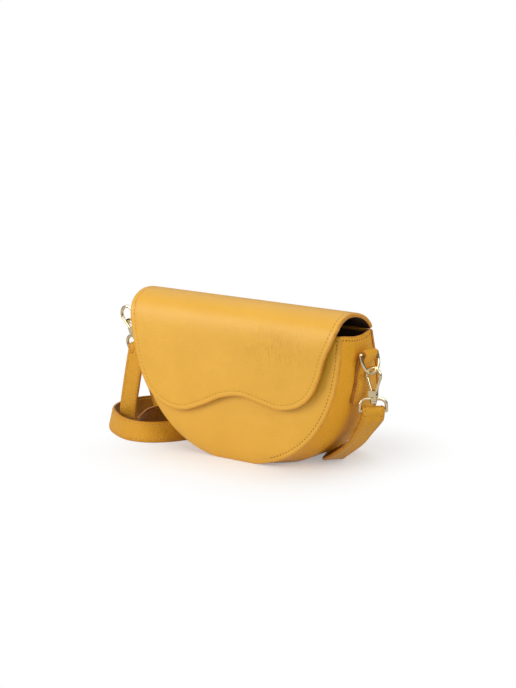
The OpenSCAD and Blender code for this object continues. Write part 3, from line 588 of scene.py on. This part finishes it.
def stitches(name, body, paths, pitch=3.6, hole=1.5):
    """paths are pairs of points and outward directions, on the leather's face."""
    source = run_of(name, [p for p, up in paths], "up", [up for p, up in paths])
    made = through(STITCHES, source, {"Pitch": pitch * MM, "Hole width": hole * MM, "Thread": thread,
                                      "Hole": hole_shade})
    if body == "flap":
        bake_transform(made)
    else:
        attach(made, body)


def seam(loop, depth, place, part):
    """A stitch path at depth inside a cut outline, on the face: part says which points it keeps."""
    loop = inset(resampled(anticlockwise(loop), 1.7, closed=True), depth)
    keep = part(loop)
    start = next(i for i in range(len(loop)) if keep[i] and not keep[i - 1])
    keep = np.roll(keep, -start)
    loop = np.roll(loop, -start, 0)[:int(np.argmin(keep))]
    loop = resampled(loop, 1.0)
    return place(loop, np.full(len(loop), depth))


# Body: front, back and gusset

# How far from the panels' edge the thread pulls the leather in, and the stitches lie
GROOVE_AT, PANEL_SEAM_AT = 4.4, 4.6
SEAM_ROWS = (2.2, 3.4, GROOVE_AT, 5.4, 6.8)
# Where the front's seam goes from its face, on the right, to under its edge, on the left
SEAM_TURN_X, SEAM_TURN_SOFT, SEAM_END_X = 48, 10, 42
EDGE_FALL, EDGE_REACH, GROOVE_DEEP, GROOVE_REACH = 0.6, 2.2, 0.45, 1.1
FRONT_BELLY, FRONT_BELLY_REACH = 2.2, 24
BACK_OUT = np.array([0, math.cos(LEAN), math.sin(LEAN)])


def soft_edge(rim, fall, reach):
    """How far the leather's face falls away towards its sewn edge."""
    return fall * np.exp(-(rim / reach) ** 2)


def stitch_groove(rim, at):
    """How deep the thread pulls the leather in along a seam at a distance from the edge."""
    return GROOVE_DEEP * np.exp(-((rim - at) / GROOVE_REACH) ** 2)


def upright(flat, y, out):
    """Points of a standing piece at its y, and the same outward direction at each of them."""
    return np.stack([flat[:, 0], y + np.zeros(len(flat)), flat[:, 1]], 1), np.tile(out, (len(flat), 1))


def on_front(flat, rim):
    """The edge falls a little where the seam shows, and by the panel's thickness where it turns under."""
    shown = 0.5 + 0.5 * np.tanh((flat[:, 0] - SEAM_TURN_X) / SEAM_TURN_SOFT)
    fall = EDGE_FALL * shown + PANEL_T * (1 - shown)
    y = FRONT_Y + soft_edge(rim, fall, EDGE_REACH + 3 * (1 - shown)) + stitch_groove(rim, GROOVE_AT) * shown
    return upright(flat, y - FRONT_BELLY * (1 - np.exp(-(rim / FRONT_BELLY_REACH) ** 2)), [0, -1.0, 0])


def on_back(flat, rim):
    fall = soft_edge(rim, EDGE_FALL, EDGE_REACH)
    return upright(flat, back_y(flat[:, 1]) - fall - stitch_groove(rim, GROOVE_AT), BACK_OUT)


# the back's edge gets the deeper edge paint: painted shade for its top edge, which lies in shade inside the
# mouth
for title, covered, place, edge_look in (("front_leather", "front_panel", on_front, paint),
                                         ("back_leather", "back_panel", on_back, paint_deep)):
    made = leather(title, OUTLINE, PANEL_T, place, (calf_face, edge_look, flesh_side), edge=0.9,
                   rows_at=SEAM_ROWS)
    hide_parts(covered)
    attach(made, "bag")

FAR = lengths(OUTLINE)
# The gusset's flat cut counts as 85 wide, and it takes its real width between the panels
GUSSET_WIDE, RIM_DIP = 85.0, 2.2
SEAM_ROLL, SEAM_ROLL_REACH = 1.4, 1.9
# It swells by SWELL in the middle, more on the right and less on the left, and fades above SWELL_Z
SWELL, SWELL_RIGHT, SWELL_X, SWELL_Z, SWELL_FADE = 5.2, 1.8, 40, 70, 60


def outline_at(s):
    """Point and outward direction of the body's outline at a length along it."""
    ahead = unit(along(OUTLINE, FAR, s + 1.5) - along(OUTLINE, FAR, s - 1.5))
    return along(OUTLINE, FAR, s), turned_left(ahead)


def bulge(x, z, share):
    """How far the gusset swells out between its two seams: most on the right, less towards the mouth."""
    reach = SWELL + SWELL_RIGHT * np.tanh(x / SWELL_X)
    start = np.clip((0.5 - np.abs(share - 0.5)) / 0.34, 0, 1)
    fade = 0.75 * np.clip((z - SWELL_Z) / SWELL_FADE, 0, 1) ** 1.5
    return reach * start ** 2 * (3 - 2 * start) * (1 - fade)


def on_gusset(flat, rim, inside_by=0.0):
    """flat is the length along the outline and the place across, from 0 at the front to 85 at the back."""
    point, out = outline_at(flat[:, 0])
    share = np.clip(flat[:, 1] / GUSSET_WIDE, 0, 1)
    front, rear = FRONT_Y + PANEL_T, back_y(point[:, 1], PANEL_T)
    y = front * (1 - share) + rear * share
    from_seam = np.minimum(share, 1 - share) * (rear - front)
    roll = SEAM_ROLL * np.exp(-(from_seam / SEAM_ROLL_REACH) ** 2)
    inwards = (roll + inside_by - bulge(point[:, 0], point[:, 1], share))[:, None]
    out3 = np.stack([out[:, 0], np.zeros(len(y)), out[:, 1]], 1)
    place = np.stack([point[:, 0], y, point[:, 1]], 1) - out3 * inwards
    place[:, 2] = np.maximum(place[:, 2], inside_by + 0.05)
    return place, out3


total = FAR[-1]
across_band = np.linspace(0, 1, 26)
rim_dip = RIM_DIP * np.sin(math.pi * across_band) ** 1.5
band = np.vstack([np.stack([total - rim_dip, across_band * GUSSET_WIDE], 1),
                  np.stack([rim_dip, across_band * GUSSET_WIDE], 1)[::-1]])
band = resampled(band, 2.0, closed=True)
side_band = leather("gusset_leather", band, GUSSET_T, on_gusset, (calf_gusset, paint, flesh_side), edge=0.7,
                    step=2.4, rows_at=(1.5, 2.6, 4.0))
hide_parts("gusset")
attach(side_band, "bag")


# Linings and the slip pocket

# A hair's breadth, so that two faces don't lie in one plane
HAIR = 0.02
POCKET_T, POCKET_FOOT_R, POCKET_PROUD = 1.2, 9, 1.25


def lining_band(flat, rim):
    return on_gusset(flat, rim, inside_by=GUSSET_T + HAIR)


def lining_front(flat, rim):
    return upright(flat, FRONT_Y + PANEL_T + LINING_T, [0, 1.0, 0])


def lining_back(flat, rim, proud=0.0):
    return upright(flat, back_y(flat[:, 1], PANEL_T + LINING_T + proud), -BACK_OUT)


def on_pocket(flat, rim):
    return lining_back(flat, rim, POCKET_PROUD + 0.4 * (1 - np.exp(-(rim / 8) ** 2)))


def rounded_box(half_w, low, high, foot, head=1.0):
    """A plate outline with round lower corners of radius foot and upper ones of radius head."""
    rows = []
    corners = ((half_w, high, head, 0), (-half_w, high, head, 90), (-half_w, low, foot, 180),
               (half_w, low, foot, 270))
    for x, z, r, start in corners:
        middle_x, middle_z = x - math.copysign(r, x), z + (-r if z == high else r)
        for a in np.radians(np.linspace(start, start + 90, 9)):
            rows.append([middle_x + r * math.cos(a), middle_z + r * math.sin(a)])
    return np.array(rows)


lined = inset(resampled(OUTLINE[::-1], 2, closed=True), GUSSET_T + LINING_T + 0.3)
pocket_low, pocket_high = box("slip_pocket")
pocket_top = pocket_high[2] - POCKET_T * math.sin(LEAN)
pocket_loop = rounded_box(pocket_high[0], pocket_low[2], pocket_top, POCKET_FOOT_R)
sheets = (("gusset_lining", inset(band, 0.4), LINING_T, lining_band, lining, 0.3),
          ("front_lining", lined, LINING_T, lining_front, lining, 0.3),
          ("back_lining", lined, LINING_T, lining_back, lining, 0.3),
          ("slip_pocket", pocket_loop, POCKET_T, on_pocket, paint_deep, 0.4))
inner_band, front_sheet, back_sheet, pocket = (
    leather(title + "_sheet", loop, thick, place, (lining, edge_look, lining), edge=edge, step=4)
    for title, loop, thick, place, edge_look, edge in sheets)
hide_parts("gusset_lining")
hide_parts("front_lining")
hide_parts("back_lining")
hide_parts("slip_pocket")
for made in (inner_band, front_sheet, back_sheet, pocket):
    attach(made, "bag")


# Flap: one leather from its tail on the back, over the ridge and down the front, with a lining under it

CREASE_Y, CREASE_Z = joint_at["flap_hinge"][1:]
flap_high = box("flap_outer")[1]
FLAP_HALF, RISE = flap_high[0], flap_high[2] - CREASE_Z
FLAP_T, FLAP_LINING_T = flap_high[2] - box("flap_lining")[1][2], 1.6
STAND_OFF, DROP = 5.2, 90.0
REACH = CREASE_Y - FRONT_Y + STAND_OFF + FLAP_T + FLAP_LINING_T
FLAP_SEAM_AT, TAIL_SEAM_AT = 4.8, 3.2
FLAP_ROWS = (2.4, 3.8, FLAP_SEAM_AT, 5.8, 7.2)
over_shares = [(0, 0), (.022, .2), (.08, .42), (.19, .7), (.36, .93), (.53, 1), (.69, .93), (.84, .66),
               (.945, .2)]
down_shares = [(.99, .08), (1, .26), (.995, .55), (.98, .84), (.968, 1.06)]
profile = smooth([(CREASE_Y - REACH * a, CREASE_Z + RISE * b) for a, b in over_shares]
                 + [(CREASE_Y - REACH * a, CREASE_Z - DROP * b) for a, b in down_shares], 24)
profile = resampled(profile, 0.5)
ARC = lengths(profile)
ahead = unit(np.gradient(profile, axis=0))
for turn in range(6):
    ahead[1:-1] = unit(ahead[:-2] + ahead[1:-1] * 2 + ahead[2:])
PROFILE_OUT = -turned_left(ahead)
TAIL_WAY = np.array([math.sin(LEAN), -math.cos(LEAN)])
TAIL_OUT = np.array([math.cos(LEAN), math.sin(LEAN)])
edge_shares = [(1, -.08), (.97, .06), (.911, .235), (.864, .43), (.785, .63), (.653, .766), (.483, .818),
               (.297, .782), (.119, .742), (-.068, .788), (-.271, .908), (-.46, .99), (-.636, .975),
               (-.785, .86), (-.873, .674), (-.932, .43), (-.975, .141), (-1, -.08)]
edge_line = smooth([(FLAP_HALF * a, CREASE_Z - DROP * b) for a, b in edge_shares], 10)
in_front = profile[:, 0] < FRONT_Y + 20
edge_arc = np.interp(-edge_line[:, 1], -profile[in_front][:, 1], ARC[in_front])
flap_front_edge = np.stack([edge_line[:, 0], edge_arc], 1)


def on_flap(flat, rim, below=0.0):
    """flat is the place along the bag and the arc from the crease; below 0 it is the tail."""
    arc = flat[:, 1]
    yz = along(profile, ARC, arc) + np.clip(-arc, 0, None)[:, None] * TAIL_WAY
    mix = np.clip(0.5 - arc / 6, 0, 1)[:, None]
    out = unit(unit(along(PROFILE_OUT, ARC, arc)) * (1 - mix) + TAIL_OUT * mix)
    dip = below + np.where(arc > 0, soft_edge(rim, 0.15, 1.8) + 0.7 * stitch_groove(rim, FLAP_SEAM_AT), 0)
    yz = yz - out * dip[:, None]
    return np.column_stack([flat[:, 0], yz]), np.column_stack([np.zeros(len(arc)), out])


def under_flap(flat, rim):
    return on_flap(flat, rim, FLAP_T)


def flap_crease(flat):
    """Fine creases show at the upper right of the flap's front and fade away around it."""
    middle, reach = (52, 93), (50, 22)
    return np.exp(-(((flat - middle) / reach) ** 2).sum(1))


TAIL_H, TAIL_CORNER_R = 26.0, 9
TAIL_HALF = np.interp(TAIL_H - RIM_Z, -OUTLINE[:HALF, 1], OUTLINE[:HALF, 0]) - FLANGE_W
right_side = np.array([[FLAP_HALF, 1.5], [FLAP_HALF, 40.0], [FLAP_HALF, flap_front_edge[0, 1]]])
step_in = [(FLAP_HALF - 1.2, 0.0), (TAIL_HALF + 3.5, -0.3), (TAIL_HALF + 1.2, -1.6), (TAIL_HALF, -4.0)]
tail_corner = [(TAIL_HALF - TAIL_CORNER_R * (1 - math.cos(a)), TAIL_CORNER_R * (1 - math.sin(a)) - TAIL_H)
               for a in np.linspace(0, math.pi / 2, 9)]
half_tail = np.array(step_in + tail_corner)
front_loop = np.vstack([right_side, flap_front_edge[1:-1], mirrored(right_side)])
flap_loop = np.vstack([front_loop, half_tail * [-1, 1], half_tail[::-1]])
lining_loop = np.vstack([front_loop, [[-FLAP_HALF, 0.5], [FLAP_HALF, 0.5]]])
flap_top = leather("flap_leather", flap_loop, FLAP_T, on_flap, (calf_face, paint, flesh_side), edge=0.5,
                   step=2.8, crease=flap_crease, rows_at=FLAP_ROWS)
flap_under = leather("flap_lining_leather", lining_loop, FLAP_LINING_T, under_flap,
                     (flesh_side, paint_deep, flap_suede), edge=0.5, step=3.2)
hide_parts("flap_outer", "flap_tail")
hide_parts("flap_lining")
for made, look in ((flap_top, "leather"), (flap_under, "flap_lining")):
    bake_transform(made)


# Tabs: a strip that goes round the ring's bar and is sewn down on itself

RING_X, RING_Y, RING_Z = joint_at["ring_swing_right"]
tab_low, tab_high = box("ring_tab_right")
TAB_W, TAB_T = tab_high[1] - tab_low[1], 2.1
RING_WIRE_R, TUNNEL_FIT = 1.6, 0.05
TAB_HEIGHTS = [tab_low[2] + rise for rise in (0, 8, 16, 24, 30)]
TAB_FOOT_R, TAB_SEAM_AT, TAB_SEWN = 0.32 * TAB_W, 2.3, 27


def tab_path(end):
    """Middle of the strip from its inner end, up the gusset, round the bar and down over itself (X and Z).
    end is 1 at the right of the bag and -1 at the left, where the gusset swells less."""
    def side(z, off):
        s = np.interp(-z, -OUTLINE[:HALF, 1], FAR[:HALF])
        point, out = outline_at(np.array([s]))
        return point[0] + out[0] * (off + float(bulge(end * point[0, 0], z, 0.5)))
    r = RING_WIRE_R + TUNNEL_FIT + TAB_T / 2
    inner = [side(z, TAB_T / 2 - 0.4) for z in TAB_HEIGHTS] + [side(RING_Z - 8, 2.2)]
    round_bar = [(RING_X + r * math.cos(a), RING_Z + r * math.sin(a))
                 for a in np.radians((140, 115, 90, 60, 30, 0, -35))]
    outer = [side(RING_Z - 9.5, 4.6)] + [side(z, 1.5 * TAB_T - 0.35) for z in TAB_HEIGHTS[::-1]]
    return resampled(smooth(inner + round_bar + outer, 8), 0.6)


def on_tab(end, path, far):
    ahead = unit(np.gradient(path, axis=0))

    def place(flat, rim):
        """flat is the place across the strip and the length along it."""
        out = turned_left(unit(along(ahead, far, flat[:, 1])))
        half = TAB_T / 2 - soft_edge(rim, 0.25, 2)
        x, z = (along(path, far, flat[:, 1]) + out * half[:, None]).T
        return (np.stack([end * x, RING_Y + flat[:, 0], z], 1),
                np.stack([end * out[:, 0], np.zeros(len(x)), out[:, 1]], 1))
    return place


for end, word in ((1, "right"), (-1, "left")):
    path = tab_path(end)
    far = lengths(path)
    tab_loop = rounded_box(TAB_W / 2, 0, far[-1], TAB_FOOT_R, TAB_FOOT_R)
    # the tabs' edges get the darker edge paint, partly as painted shade along them
    strip = leather("ring_tab_leather_" + word, tab_loop, TAB_T, on_tab(end, path, far),
                    (calf_gusset, paint_dark, flesh_side), edge=0.6, step=1.8)
    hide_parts("ring_tab_" + word)
    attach(strip, "bag")
    sewn = seam(tab_loop, TAB_SEAM_AT, on_tab(end, path, far), lambda p: p[:, 1] > far[-1] - TAB_SEWN)
    stitches("ring_tab_stitches_" + word, "bag", [sewn], pitch=2.9, hole=1.0)


# Strap: one ribbon of two sewn layers, turned back on itself at both hooks

HOOK_RIGHT, HOOK_LEFT = joint_at["loop_swing_right"], joint_at["loop_swing_left"]
STRAP_W, STRAP_T, LEFT_LAP = 20.0, 2.8, 66.0
# the middle of the strap runs round the loop's bar with a little play
LOOP_BAR_R, LOOP_PLAY = 1.5, 0.3
WRAP_R = LOOP_BAR_R + LOOP_PLAY + STRAP_T / 2
LAY, LAY_Y = BELLY_W + 70, FRONT_Y + 40
STRAP_SEAM_AT = 2.6
left_lean, loop_turn, rise_lean = math.radians(24), math.radians(40), math.radians(33)
left_w = np.array([math.cos(left_lean), 0, math.sin(left_lean)])
left_up = np.array([-math.sin(left_lean), 0, math.cos(left_lean)])
left_front = np.array([0, -1.0, 0])
right_w = np.array([math.cos(loop_turn), math.sin(loop_turn), 0])
right_out = np.array([math.sin(loop_turn), -math.cos(loop_turn), 0])
right_up = right_out * math.sin(rise_lean) + [0, 0, math.cos(rise_lean)]
right_front = right_out * math.cos(rise_lean) - [0, 0, math.sin(rise_lean)]


def wrap(bar, front_way, up_way, w, angles):
    """Rows round a bar, with a short straight lead at each end. A row is a place and the width's way."""
    rows = []
    for angle, lead in [(angles[0], 1)] + [(a, 0) for a in angles] + [(angles[-1], 1)]:
        a = math.radians(angle)
        rows.append([*(bar + WRAP_R * (-math.cos(a) * front_way + (math.sin(a) - lead) * up_way)), *w])
    return rows


def from_bar(bar, shares):
    """Rows whose places are shares of the bar's height."""
    return [[*(bar + bar[2] * np.array(row[:3])), *row[3:]] for row in shares]


# In each row of shares the last three numbers are the way of the ribbon's width.
# the turned-back end on the left, in shares of its length: behind the bar, below it and to the left
lap_shares = [(.16, 1, .14, (.99, 0, .1)), (.1, .55, .06, (.96, 0, .25)), (.03, .2, 0, left_w)]
left_rows = []
for behind, low, aside, w in lap_shares:
    spot = HOOK_LEFT - (WRAP_R + behind * LEFT_LAP) * left_front - low * LEFT_LAP * left_up
    left_rows.append([*(spot - [aside * LEFT_LAP, 0, 0]), *w])
left_rows += wrap(HOOK_LEFT, left_front, left_up, left_w, (0, 45, 90, 135, 180))
# down from the left bar, in shares of its height
fall = [(-.0226, -.0355, -.2047, .97, 0, .24), (-.0778, -.0312, -.4547, 1, 0, .06),
        (-.1267, -.0249, -.6933, 1, 0, 0), (-.1586, .0176, -.8455, 1, .05, .1)]
# round on the floor and behind the bag: X, and Y from LAY_Y, in shares of LAY, and Z in strap widths
lie = [(-.822, -.008, .44, .86, 0, .5), (-.806, .068, .49, .5, 0, .86), (-.755, .15, .5, 0, 0, 1),
       (-.66, .212, .5, 0, 0, 1), (-.552, .212, .5, 0, 0, 1), (-.465, .152, .5, 0, 0, 1),
       (-.437, .06, .5, 0, 0, 1), (-.453, -.035, .5, 0, 0, 1), (-.5, -.12, .5, -.08, .12, 1),
       (-.577, -.188, .5, -.1, .2, 1), (-.68, -.207, .5, 0, .26, 1), (-.79, -.165, .5, .08, .26, 1),
       (-.895, -.093, .5, .16, .2, 1), (-.97, -.005, .5, .2, .06, 1), (-1, .11, .5, .1, 0, 1),
       (-.984, .235, .5, 0, 0, 1), (-.909, .342, .5, 0, 0, 1), (-.78, .405, .5, 0, 0, 1),
       (-.62, .428, .5, 0, 0, 1), (-.44, .435, .5, 0, 0, 1), (-.25, .44, .47, 0, .35, .93),
       (-.06, .44, .33, .05, .82, .57), (.1, .415, .13, .35, .93, .12), (.24, .355, .075, .62, .78, 0),
       (.318, .255, .075, .7, .72, 0), (.366, .145, .085, .7, .72, 0), (.424, .044, .25, .6, .8, 0)]
# up to the right bar, in shares of its height
rise = [(-.681, .213, -.78, .46, .89, 0), (-.436, .179, -.5926, .42, .91, 0),
        (-.2494, .113, -.3971, .46, .89, 0), (-.1054, .0497, -.2439, .58, .81, 0),
        (-.014, -.0052, -.1303, .74, .67, 0)]
floor_rows = [[a * LAY, LAY_Y + b * LAY, c * STRAP_W, *w] for a, b, c, *w in lie]
lie_rows = from_bar(HOOK_LEFT, fall) + floor_rows + from_bar(HOOK_RIGHT, rise)
# the turned-back end on the right lies a layer's thickness behind the last rows
right_lap = [[*(np.array(lie_rows[-k][:3]) - layers * STRAP_T * right_front), *lie_rows[-k][3:]]
             for k, layers in ((1, 1.5), (2, 1.15), (3, 1.12))]
right_rows = wrap(HOOK_RIGHT, right_front, right_up, right_w, (180, 135, 90, 45, 0)) + right_lap
ROW_STEPS = 10
STRAP = smooth(left_rows + lie_rows + right_rows, ROW_STEPS)
way = unit(np.gradient(STRAP[:, :3], axis=0))
across = unit(STRAP[:, 3:] - (STRAP[:, 3:] * way).sum(1, keepdims=True) * way)
face_way = np.cross(way, across)
# no edge of the ribbon lies below the floor
low_side = np.abs(across[:, 2]) * STRAP_W / 2 + np.abs(face_way[:, 2]) * STRAP_T / 2
STRAP[:, 2] += np.maximum(0, low_side - STRAP[:, 2])
strap_source = run_of("strap_leather", [STRAP[:, :3]], "across", [across])
first = ROW_STEPS * (len(left_rows) + len(fall))
# turned is 1 along the rows round the floor and behind the bag, where the inner face gets painted shade
turned = [float(first < i < first + ROW_STEPS * len(lie)) for i in range(len(STRAP))]
strap_source.data.attributes.new("turned", "FLOAT", "POINT").data.foreach_set("value", turned)
strap = through(RIBBON, strap_source, {"Width": STRAP_W * MM, "Thickness": STRAP_T * MM,
                                       "Leather": calf_strap, "Painted shade": strap_loop_painted_shade,
                                       "Edge paint": paint_deep})
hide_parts("strap_rise_left", "strap_inner_run", "strap_loop_front", "strap_loop_back",
            "strap_behind", "strap_rise_right")
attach(strap, "bag")
strap_seams = []
for sign in (-1, 1):
    for at in (-1, 1):
        line = STRAP[:, :3] + across * at * (STRAP_W / 2 - STRAP_SEAM_AT)
        line = line + face_way * sign * (STRAP_T / 2 - HAIR)
        strap_seams.append((line[4:-4], face_way[4:-4] * sign))
stitches("strap_stitches", "bag", strap_seams, pitch=3.4, hole=0.9)


# Stitches of the gusset's rim, the body, the flap, its tail and the pocket

RIM_SEAM_AT, POCKET_SEAM_AT = 3.6, 2.5
# Each seam stops short of the mouth, of the flap's crease or of the pocket's open edge
SEAM_TOP, FLAP_SEAM_END, TAIL_SEAM_END, POCKET_SEAM_TOP = RIM_Z - 4.5, 3, -6, pocket_top - 2.6
rim_rows = []
for start, way in ((0, 1), (total, -1)):
    line = np.stack([start + way * (rim_dip + RIM_SEAM_AT), across_band * GUSSET_WIDE], 1)
    rim_rows.append(on_gusset(resampled(line, 1.0), None))
stitches("rim_stitches", "bag", rim_rows)
panel_seam = seam(OUTLINE, PANEL_SEAM_AT, on_front,
                  lambda p: (p[:, 1] < SEAM_TOP) & (p[:, 0] > SEAM_END_X))
back_seam = seam(OUTLINE, PANEL_SEAM_AT, on_back, lambda p: p[:, 1] < SEAM_TOP)
stitches("body_stitches", "bag", [panel_seam, back_seam])
flap_seam = seam(flap_loop, FLAP_SEAM_AT, on_flap, lambda p: p[:, 1] > FLAP_SEAM_END)
stitches("flap_stitches", "flap", [flap_seam], hole=1.0)
tail_seam = seam(flap_loop, TAIL_SEAM_AT, on_flap, lambda p: p[:, 1] < TAIL_SEAM_END)
stitches("tail_stitches", "bag", [tail_seam])
pocket_seam = seam(pocket_loop, POCKET_SEAM_AT, on_pocket, lambda p: p[:, 1] < POCKET_SEAM_TOP)
stitches("pocket_stitches", "bag", [pocket_seam])

# Metal pieces keep their constructed shapes and get their plating
paired_gold = ("d_ring", "strap_loop", "swivel_stem", "hook_body", "hook_gate", "gate_pin")
for metal, names, pairs in ((gold, ("snap_socket", "snap_stud"), paired_gold),
                            (steel, ("snap_magnet", "socket_washer", "stud_washer"), ("gate_spring",))):
    for name in [*names, *(pair + side for pair in pairs for side in ("_right", "_left"))]:
        for held in node[name].material_slots:
            held.material = metal


# Floor, world and lamps

def seen_directly(tree):
    """1 for what the camera sees itself or through glass, and 1 for what gloss shows."""
    seen = add(tree, "ShaderNodeLightPath", out=None).outputs
    direct = add(tree, "ShaderNodeMath", {0: seen["Is Camera Ray"], 1: seen["Is Transmission Ray"]},
                 operation="MAXIMUM")
    return direct, seen["Is Glossy Ray"]


def floor():
    """White paper that keeps the shadow near the bag and burns out to white away from it."""
    mesh = bpy.data.meshes.new("floor")
    half = 6.0
    corners = [(x * half, y * half, 0) for x, y in ((-1, -1), (1, -1), (1, 1), (-1, 1))]
    mesh.from_pydata(corners, [], [(0, 1, 2, 3)])
    thing = new_object("floor", mesh)
    paper, tree, shader = new_material("white_paper_floor", {"Roughness": 0.9,
                                                             "Base Color": colour("F7F5F2")})
    direct, in_gloss = seen_directly(tree)
    # its own light grows over 120 mm, from a square that reaches 50 mm each way from the middle
    spot = add(tree, "ShaderNodeTexCoord", out="Object")
    foot = add(tree, "ShaderNodeVectorMath", {0: spot}, operation="ABSOLUTE")
    for operation, by in (("SUBTRACT", (0.05, 0.05, 0)), ("MAXIMUM", (0, 0, 0))):
        foot = add(tree, "ShaderNodeVectorMath", {0: foot, 1: by}, operation=operation)
    away = add(tree, "ShaderNodeVectorMath", {0: foot}, out="Value", operation="LENGTH")
    share = add(tree, "ShaderNodeMapRange", {"Value": away, "From Min": 0.0, "From Max": 0.12,
                                             "To Min": 0.3, "To Max": 1.0}, interpolation_type="SMOOTHSTEP")
    part = add(tree, "ShaderNodeMath", {0: direct, 1: share}, operation="MULTIPLY")
    # gloss shows it dimmer, as the shade under the bag does
    part = add(tree, "ShaderNodeMath", {0: part, 1: in_gloss}, operation="MAXIMUM")
    dim = add(tree, "ShaderNodeMath", {0: in_gloss, 1: -0.4, 2: 1.0}, operation="MULTIPLY_ADD")
    glow = add(tree, "ShaderNodeEmission", {"Color": (1, 1, 1, 1), "Strength": dim})
    both = add(tree, "ShaderNodeMixShader", {0: part, 1: shader.outputs[0], 2: glow})
    give(tree.nodes["Material Output"], {"Surface": both})
    mesh.materials.append(paper)


def room():
    """A pale room, white where the camera sees it. Gloss shows it with a dim lower wall all round, which
    draws the lines along polished metal."""
    world = bpy.data.worlds.new("pale_room")
    bpy.context.scene.world = world
    world.use_nodes = True
    tree = world.node_tree
    pale = tree.nodes["Background"]
    give(pale, {"Color": (1, 0.985, 0.96, 1), "Strength": 0.36})
    direct, in_gloss = seen_directly(tree)
    white = add(tree, "ShaderNodeBackground", {"Color": (1, 1, 1, 1), "Strength": 1.0})
    both = add(tree, "ShaderNodeMixShader", {0: direct, 1: pale.outputs[0], 2: white})
    way = add(tree, "ShaderNodeTexCoord", out="Generated")
    high = add(tree, "ShaderNodeSeparateXYZ", {0: way}, out="Z")
    wall = add(tree, "ShaderNodeValToRGB", {0: high}, stops=[(0.12, (0.05, 0.045, 0.04, 1)),
                                                             (0.5, (1, 1, 1, 1))])
    shown = add(tree, "ShaderNodeBackground", {"Color": wall, "Strength": 1.0})
    both = add(tree, "ShaderNodeMixShader", {0: in_gloss, 1: both, 2: shown})
    give(tree.nodes["World Output"], {"Surface": both})


def lamp(name, place, aim, size, watts, tint):
    made = bpy.data.lights.new(name, "AREA")
    made.shape, made.size, made.energy, made.color = "DISK", size, watts, tint
    thing = new_object(name, made)
    thing.location = place
    thing.rotation_euler = (Vector(aim) - Vector(place)).to_track_quat("-Z", "Y").to_euler()


floor()
room()
lamp("softbox_key", (-0.74, -1.15, 0.62), (0, 0, 0.1), 1.0, 12.0, (1, 0.99, 0.97))
lamp("softbox_fill", (1.5, -0.5, 1.0), (0, 0, 0.08), 1.0, 10.0, (1, 0.98, 0.95))
lamp("softbox_top", (0.0, 0.1, 1.7), (0, 0, 0.1), 1.2, 7.0, (1, 1, 1))
bpy.context.scene.view_settings.view_transform = "Standard"
